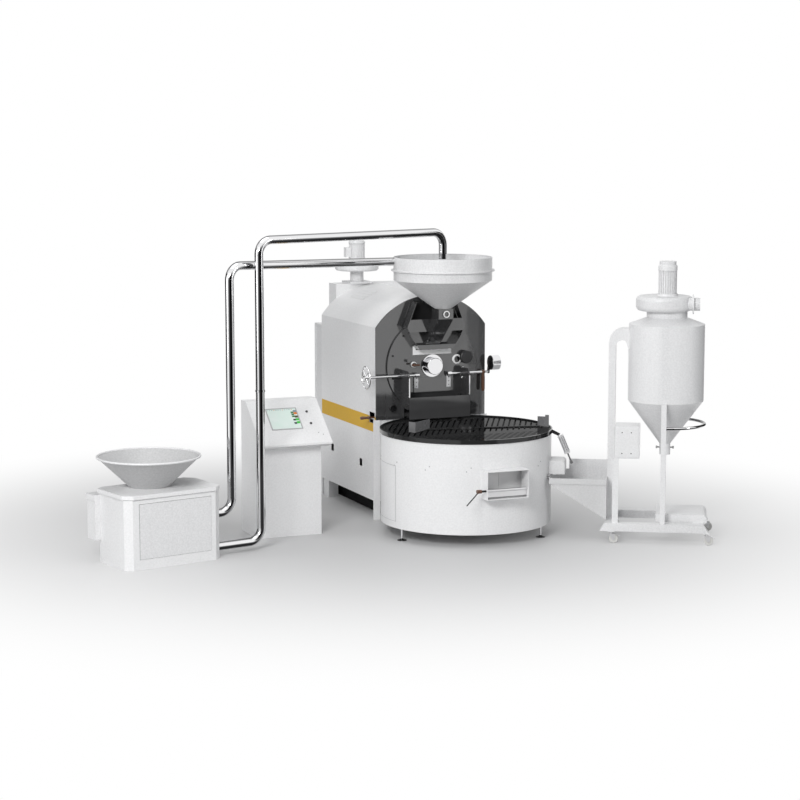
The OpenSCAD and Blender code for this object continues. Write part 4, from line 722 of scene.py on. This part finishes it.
bm = bmesh.new()
for low, high in ((-0.190, -0.001), (0.001, 0.270)):
    folded(bm, tray + Vector((low, -0.690, 0.445)), tray + Vector((high, -0.687, 0.687)), edge=0.0006)
join(bm, "air_guide", ring_enamel, "plant")

# Gate cylinder: a drawn aluminium tube between two blocks, on a black arm that is clamped to the rim. Its
# dark steel rod lifts the gate of the outlet.
aluminium = satin("drawn_aluminium", (0.80, 0.80, 0.81, 1), 0.2, 0.36)
dress("gate_rod", dark_steel)
outlet_way = at_wall(outlet_angle, 1, 0) - tray
arm_out, arm_low = 0.058, 0.86
mesh = dress("gate_cylinder", aluminium, black_oxide)
for face in mesh.polygons:
    out = (face.center - tray) @ outlet_way - tray_radius
    if out < arm_out and face.center.z > arm_low:
        face.material_index = 1

# Control cabinet: a white folded case and desk. A touch panel lies behind glass in a thin grey frame, with
# coloured keys in two columns at its right and a row of small state marks along the top, without
# lettering. Two black push buttons and two screws are beside it.
for node in ("cabinet_body", "cabinet_desk"):
    dress(node, white_powder)
display = bpy.data.materials.new("lit_display")
display.use_nodes = True
tree = display.node_tree
shader = tree.nodes["Principled BSDF"]
shader.inputs["Roughness"].default_value = 0.12
place = add_node(tree, "TexCoord")
haze = add_node(tree, "TexNoise", {"Scale": 9})
tone = add_node(tree, "ValToRGB")
tone.color_ramp.elements[0].color = (0.66, 0.82, 0.74, 1)
tone.color_ramp.elements[1].color = (0.82, 0.88, 0.86, 1)
tree.links.new(place.outputs["Object"], haze.inputs["Vector"])
tree.links.new(haze.outputs["Fac"], tone.inputs["Fac"])
tree.links.new(tone.outputs["Color"], shader.inputs["Base Color"])
frame_grey = enamel("frame_grey", (0.42, 0.42, 0.43, 1), (0.5, 0.5, 0.5, 1), clean=0.2, marked=0.3)
desk_rise, desk_run = 0.343, 0.420
slope = math.atan2(desk_rise, desk_run)
smallest_glass = 0.02
mesh = dress("screen", frame_grey, display)
for face in mesh.polygons:
    if abs(face.normal.z - math.cos(slope)) < 0.01 and face.area > smallest_glass:
        face.material_index = 1
for node in ("start_button", "stop_button"):
    dress(node, black_nylon)

desk = Matrix.Translation(roaster + Vector((-1.862, -0.130, 1.195))) @ Matrix.Rotation(slope, 4, "X")
glass_left, glass_top, glass_w, glass_h = 0.160, -0.116, 0.276, 0.241
inks = {
    "leaf": (0.03, 0.16, 0.05),
    "ink": (0.008, 0.010, 0.03),
    "orange": (0.70, 0.20, 0.03),
    "olive": (0.07, 0.07, 0.02),
    "green": (0.05, 0.55, 0.06),
    "grey": (0.22, 0.28, 0.32),
}
order = list(inks)
lit = tuple(enamel("key_" + ink, (*inks[ink], 1), (*inks[ink], 1), clean=0.12, marked=0.2) for ink in order)


def key(bm, across, down, w, h, ink):
    """Adds a lit key. across and down are shares of the glass."""
    x, y = glass_left + glass_w * across, glass_top - glass_h * down
    folded(bm, (x - w / 2, y - h / 2, 0.0031), (x + w / 2, y + h / 2, 0.0038), edge=0.0002, turn=desk,
           index=order.index(ink))


bm = bmesh.new()
for down, ink in ((0.20, "leaf"), (0.30, "leaf"), (0.40, "leaf"), (0.57, "ink"), (0.74, "ink")):
    key(bm, 0.845, down, 0.024, 0.020, ink)
for down, ink in ((0.14, "grey"), (0.25, "orange"), (0.42, "olive"), (0.56, "green"), (0.71, "green")):
    key(bm, 0.945, down, 0.030, 0.026, ink)
for k in range(12):
    key(bm, 0.03 + 0.075 * k, 0.05, 0.009, 0.006, "orange" if k % 4 == 3 else "grey")
join(bm, "display_keys", lit, "plant")
off_desk = desk.to_3x3() @ Vector((0, 0, 1))
places = [(desk @ Vector((x, y, 0)), off_desk) for x, y in ((0.575, -0.420), (0.612, -0.445))]
screws("console_screws", places, 0.004, 0.002, black_oxide, "plant")

# Loader: a white folded body with a lid and a screwed panel, a base skirt of bent sheet round its foot,
# and dark joints round the panel and under the lid. The dish is spun sheet, darker grey than the body, with
# a white rolled rim.
for node in ("loader_body", "loader_lid", "loader_panel"):
    dress(node, white_powder)
grey_powder_and_painted_shade = powder("grey_powder_and_painted_shade", (0.50, 0.50, 0.503, 1), 0.90, 1.08, 0.30, specular=0.42)
rim_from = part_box("loader_dish")[1].z - 0.018
mesh = dress("loader_dish", grey_powder_and_painted_shade, white_powder)
for face in mesh.polygons:
    if face.center.z > rim_from:
        face.material_index = 1
loader = Matrix.Translation(roaster + Vector((-3.290, -1.300, 0)))
loader = loader @ Matrix.Rotation(math.radians(12.5), 4, "Z")
loader_w, loader_d, corner_x, corner_y = 0.904, 0.537, 0.060, 0.050


def loader_ring(bm, out, z):
    """Adds the corners of the loader's outline, moved outwards, at a height."""
    w, d = loader_w, loader_d
    outline = ((corner_x, -out), (w - corner_x, -out), (w + out, corner_y), (w + out, d - corner_y),
               (w - corner_x, d + out), (corner_x, d + out), (-out, d - corner_y), (-out, corner_y))
    return [bm.verts.new(loader @ Vector((x, y, z))) for x, y in outline]


def band(bm, low, high):
    """Closes the strip between two rings of corners."""
    for k in range(len(low)):
        on = (k + 1) % len(low)
        bm.faces.new((low[k], low[on], high[on], high[k]))


bm = bmesh.new()
walls = [loader_ring(bm, out, z) for out, z in ((0.0002, 0), (0.0015, 0), (0.0015, 0.026), (0.0002, 0.027))]
for a, b in zip(walls, walls[1:]):
    band(bm, a, b)
bmesh.ops.recalc_face_normals(bm, faces=bm.faces)
join(bm, "loader_skirt", white_powder, "plant", crease=0.3)

panel_left, panel_right, panel_low, panel_high = 0.1185, 0.8015, 0.0878, 0.5552
joint_side, joint_level = 0.0022, 0.0019
bm = bmesh.new()
for x0, z0, x1, z1 in (
    (panel_left, panel_low, panel_left + joint_side, panel_high),
    (panel_right - joint_side, panel_low, panel_right, panel_high),
    (panel_left, panel_high - joint_level, panel_right, panel_high),
    (panel_left, panel_low, panel_right, panel_low + joint_level),
):
    folded(bm, (x0, -0.0007, z0), (x1, -0.0001, z1), edge=0.0002, turn=loader)
band(bm, loader_ring(bm, -0.001, 0.5925), loader_ring(bm, -0.001, 0.5955))
bmesh.ops.recalc_face_normals(bm, faces=bm.faces)
join(bm, "loader_joints", black_oxide, "plant")

# Pipes: drawn stainless tube with smooth bends, buffed bright. Its dark and bright lines are painted
# reflection, a ramp in its colour over the way each face turns.
# The feed pipe rises from the loader's foot, is held by a clamp ring and ends in the hopper. The return
# pipe comes back from the hopper's band.
# Painted reflection bands: the colour goes dark or bright by how far each face turns from a fixed way.
painted_reflection_bands, given, made = effect(
    "painted_reflection_bands", [("Facing", VECTOR, (-0.15, -0.93, -0.33))], [("Colour", COLOUR)]
)
shape = add_node(painted_reflection_bands, "NewGeometry")
turned_to = add_node(painted_reflection_bands, "VectorMath", operation="DOT_PRODUCT")
half = add_node(painted_reflection_bands, "Math", {1: 0.5, 2: 0.5}, operation="MULTIPLY_ADD")
line = add_node(painted_reflection_bands, "ValToRGB")
line.color_ramp.elements[0].position = 0.56
line.color_ramp.elements[0].color = (0.16, 0.16, 0.165, 1)
line.color_ramp.elements[1].position = 0.948
line.color_ramp.elements[1].color = (0.035, 0.035, 0.037, 1)
for spot, tone in ((0.64, 0.50), (0.71, 0.85), (0.90, 0.86), (0.925, 0.30)):
    line.color_ramp.elements.new(spot).color = (tone, tone, tone * 1.01, 1)
painted_reflection_bands.links.new(shape.outputs["Normal"], turned_to.inputs[0])
painted_reflection_bands.links.new(given.outputs["Facing"], turned_to.inputs[1])
painted_reflection_bands.links.new(turned_to.outputs["Value"], half.inputs[0])
painted_reflection_bands.links.new(half.outputs[0], line.inputs["Fac"])
painted_reflection_bands.links.new(line.outputs["Color"], made.inputs["Colour"])
# The pipes' steel takes its colour from the painted reflection bands.
drawn_steel_painted_bands = enamel("drawn_steel_painted_bands", (0.83, 0.83, 0.84, 1), (0.95, 0.95, 0.95, 1), clean=0.05, marked=0.12,
                     metallic=1.0, wear=0.0)
tree = drawn_steel_painted_bands.node_tree
reflection_band_colour = add_node(tree, "Group", node_tree=painted_reflection_bands)
tree.links.new(reflection_band_colour.outputs["Colour"], tree.nodes["Principled BSDF"].inputs["Base Color"])


def smooth_route(points, bend, arc=12):
    """Gives the points of a route whose corners are rounded by a bend radius."""
    line = [points[0]]
    for a, b, c in zip(points, points[1:], points[2:]):
        into, on = (b - a).normalized(), (c - b).normalized()
        half = into.angle(on) / 2
        middle = b + (on - into).normalized() * bend / math.cos(half)
        axis = into.cross(on).normalized()
        start = b - into * bend * math.tan(half) - middle
        line += [middle + Matrix.Rotation(2 * half * k / arc, 3, axis) @ start for k in range(arc + 1)]
    return line + [points[-1]]


def swept(bm, line, radius, steps):
    """Adds a tube's skin along a route, and gives its rings of corners."""
    ahead = (line[1] - line[0]).normalized()
    across = ahead.orthogonal().normalized()
    rings = []
    for k, spot in enumerate(line):
        before = (spot - line[k - 1]).normalized() if k else ahead
        after = (line[k + 1] - spot).normalized() if k + 1 < len(line) else before
        mean = (before + after).normalized()
        across = (across - mean * across.dot(mean)).normalized()
        up = mean.cross(across)
        rings.append([bm.verts.new(spot + radius * (across * x + up * y)) for x, y in circle(steps)])
    for a, b in zip(rings, rings[1:]):
        band(bm, a, b)
    return rings


tube_out, tube_in, tube_bend, tube_steps = 0.038, 0.036, 0.120, 28
feed_out, feed_y, feed_top = 1.370, 0.125, 2.680
return_out, return_y = 1.112, 0.185
for name, points in (
    ("feed_pipe", [
        loader @ Vector((loader_w, feed_y, 0.084)),
        loader @ Vector((feed_out, feed_y, 0.084)),
        loader @ Vector((feed_out, feed_y, feed_top)),
        roaster + Vector((0, -0.280, feed_top)),
        roaster + Vector((0, -0.280, 2.433)),
    ]),
    ("return_pipe", [
        loader @ Vector((loader_w, return_y, 0.358)),
        loader @ Vector((return_out, return_y, 0.358)),
        loader @ Vector((return_out, return_y, 2.470)),
        roaster + Vector((-0.368, -0.116, 2.411)),
    ]),
):
    bm = bmesh.new()
    line = smooth_route(points, tube_bend)
    outer, inner = swept(bm, line, tube_out, tube_steps), swept(bm, line, tube_in, tube_steps)
    for end in (0, -1):
        band(bm, outer[end], inner[end])
    if name == "feed_pipe":
        clamp = [(0.0382, 0), (0.043, 0.002), (0.043, 0.018), (0.0382, 0.020), (0.0382, 0)]
        turned(bm, clamp, loader @ Vector((feed_out, feed_y, 1.380)), (0, 0, 1), steps=tube_steps)
    bmesh.ops.recalc_face_normals(bm, faces=bm.faces)
    tube = join(bm, name + "_tube", drawn_steel_painted_bands, "plant", crease=0.7)
    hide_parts(name)

# Destoner: base, posts, duct, cyclone, fan and control box are white welded sheet. The intake's outer side
# is greyer, partly grey sheet and partly painted shade on that side. The valve's plate under the cone is
# dark steel, and the hoop is bent from the pipes' tube, with the same painted reflection bands.
# Four black screws hold the control box's door.
for node in ("destoner_base", "destoner_posts", "riser_duct", "cyclone", "destoner_fan", "destoner_motor",
             "control_box"):
    dress(node, white_powder)
dress("hoop_handle", drawn_steel_painted_bands)
dress("butterfly", dark_steel)
destoner_away = tray_radius + 0.0003 + 0.556
destoner = Matrix.Translation(tray) @ Matrix.Rotation(math.radians(outlet_angle), 4, "Z")
destoner = destoner @ Matrix.Translation(Vector((destoner_away, -0.366, 0)))
# The grey faces of the intake's outer side are partly the sheet's grey and partly painted shade.
fold_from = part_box("destoner_intake")[1].z - 0.050
mesh = dress("destoner_intake", white_powder, grey_powder_and_painted_shade)
spots = [destoner.inverted() @ face.center for face in mesh.polygons]
grey_shaded_side_to = min(spot.y for spot in spots) + 0.035
for face, spot in zip(mesh.polygons, spots):
    if spot.y < grey_shaded_side_to and spot.z < fold_from:
        face.material_index = 1
off_box = destoner.to_3x3() @ Vector((0, -1, 0))
places = [(destoner @ Vector((x, -0.004, z)), off_box) for x in (0.085, 0.165) for z in (0.800, 0.985)]
screws("control_box_screws", places, 0.005, 0.0025, black_oxide, "plant")

# Castors: satin steel forks with turned wheels of pale nylon, a little yellowed where they roll. The front
# two have brake levers pressed from steel strip.
pale_nylon = powder("pale_nylon", (0.70, 0.70, 0.68, 1), 0.95, 1.02, 0.4, worn=(0.62, 0.60, 0.56, 1),
                    wear=0.4)
for node in ("wheel_left", "wheel_right", "wheel_rear_left", "wheel_rear_right"):
    dress(node, pale_nylon)
for side, x in (("left", 0.0), ("right", 0.830)):
    dress("fork_" + side, satin_steel)
    bm = bmesh.new()
    at_fork = destoner @ Matrix.Translation(Vector((x, 0, 0)))
    folded(bm, (0.020, -0.014, 0.074), (0.062, 0.014, 0.078), edge=0.0008, turn=at_fork)
    folded(bm, (0.060, -0.018, 0.066), (0.078, 0.018, 0.069), edge=0.0008, turn=at_fork)
    join(bm, "brake_lever_" + side, satin_steel, "fork_" + side)
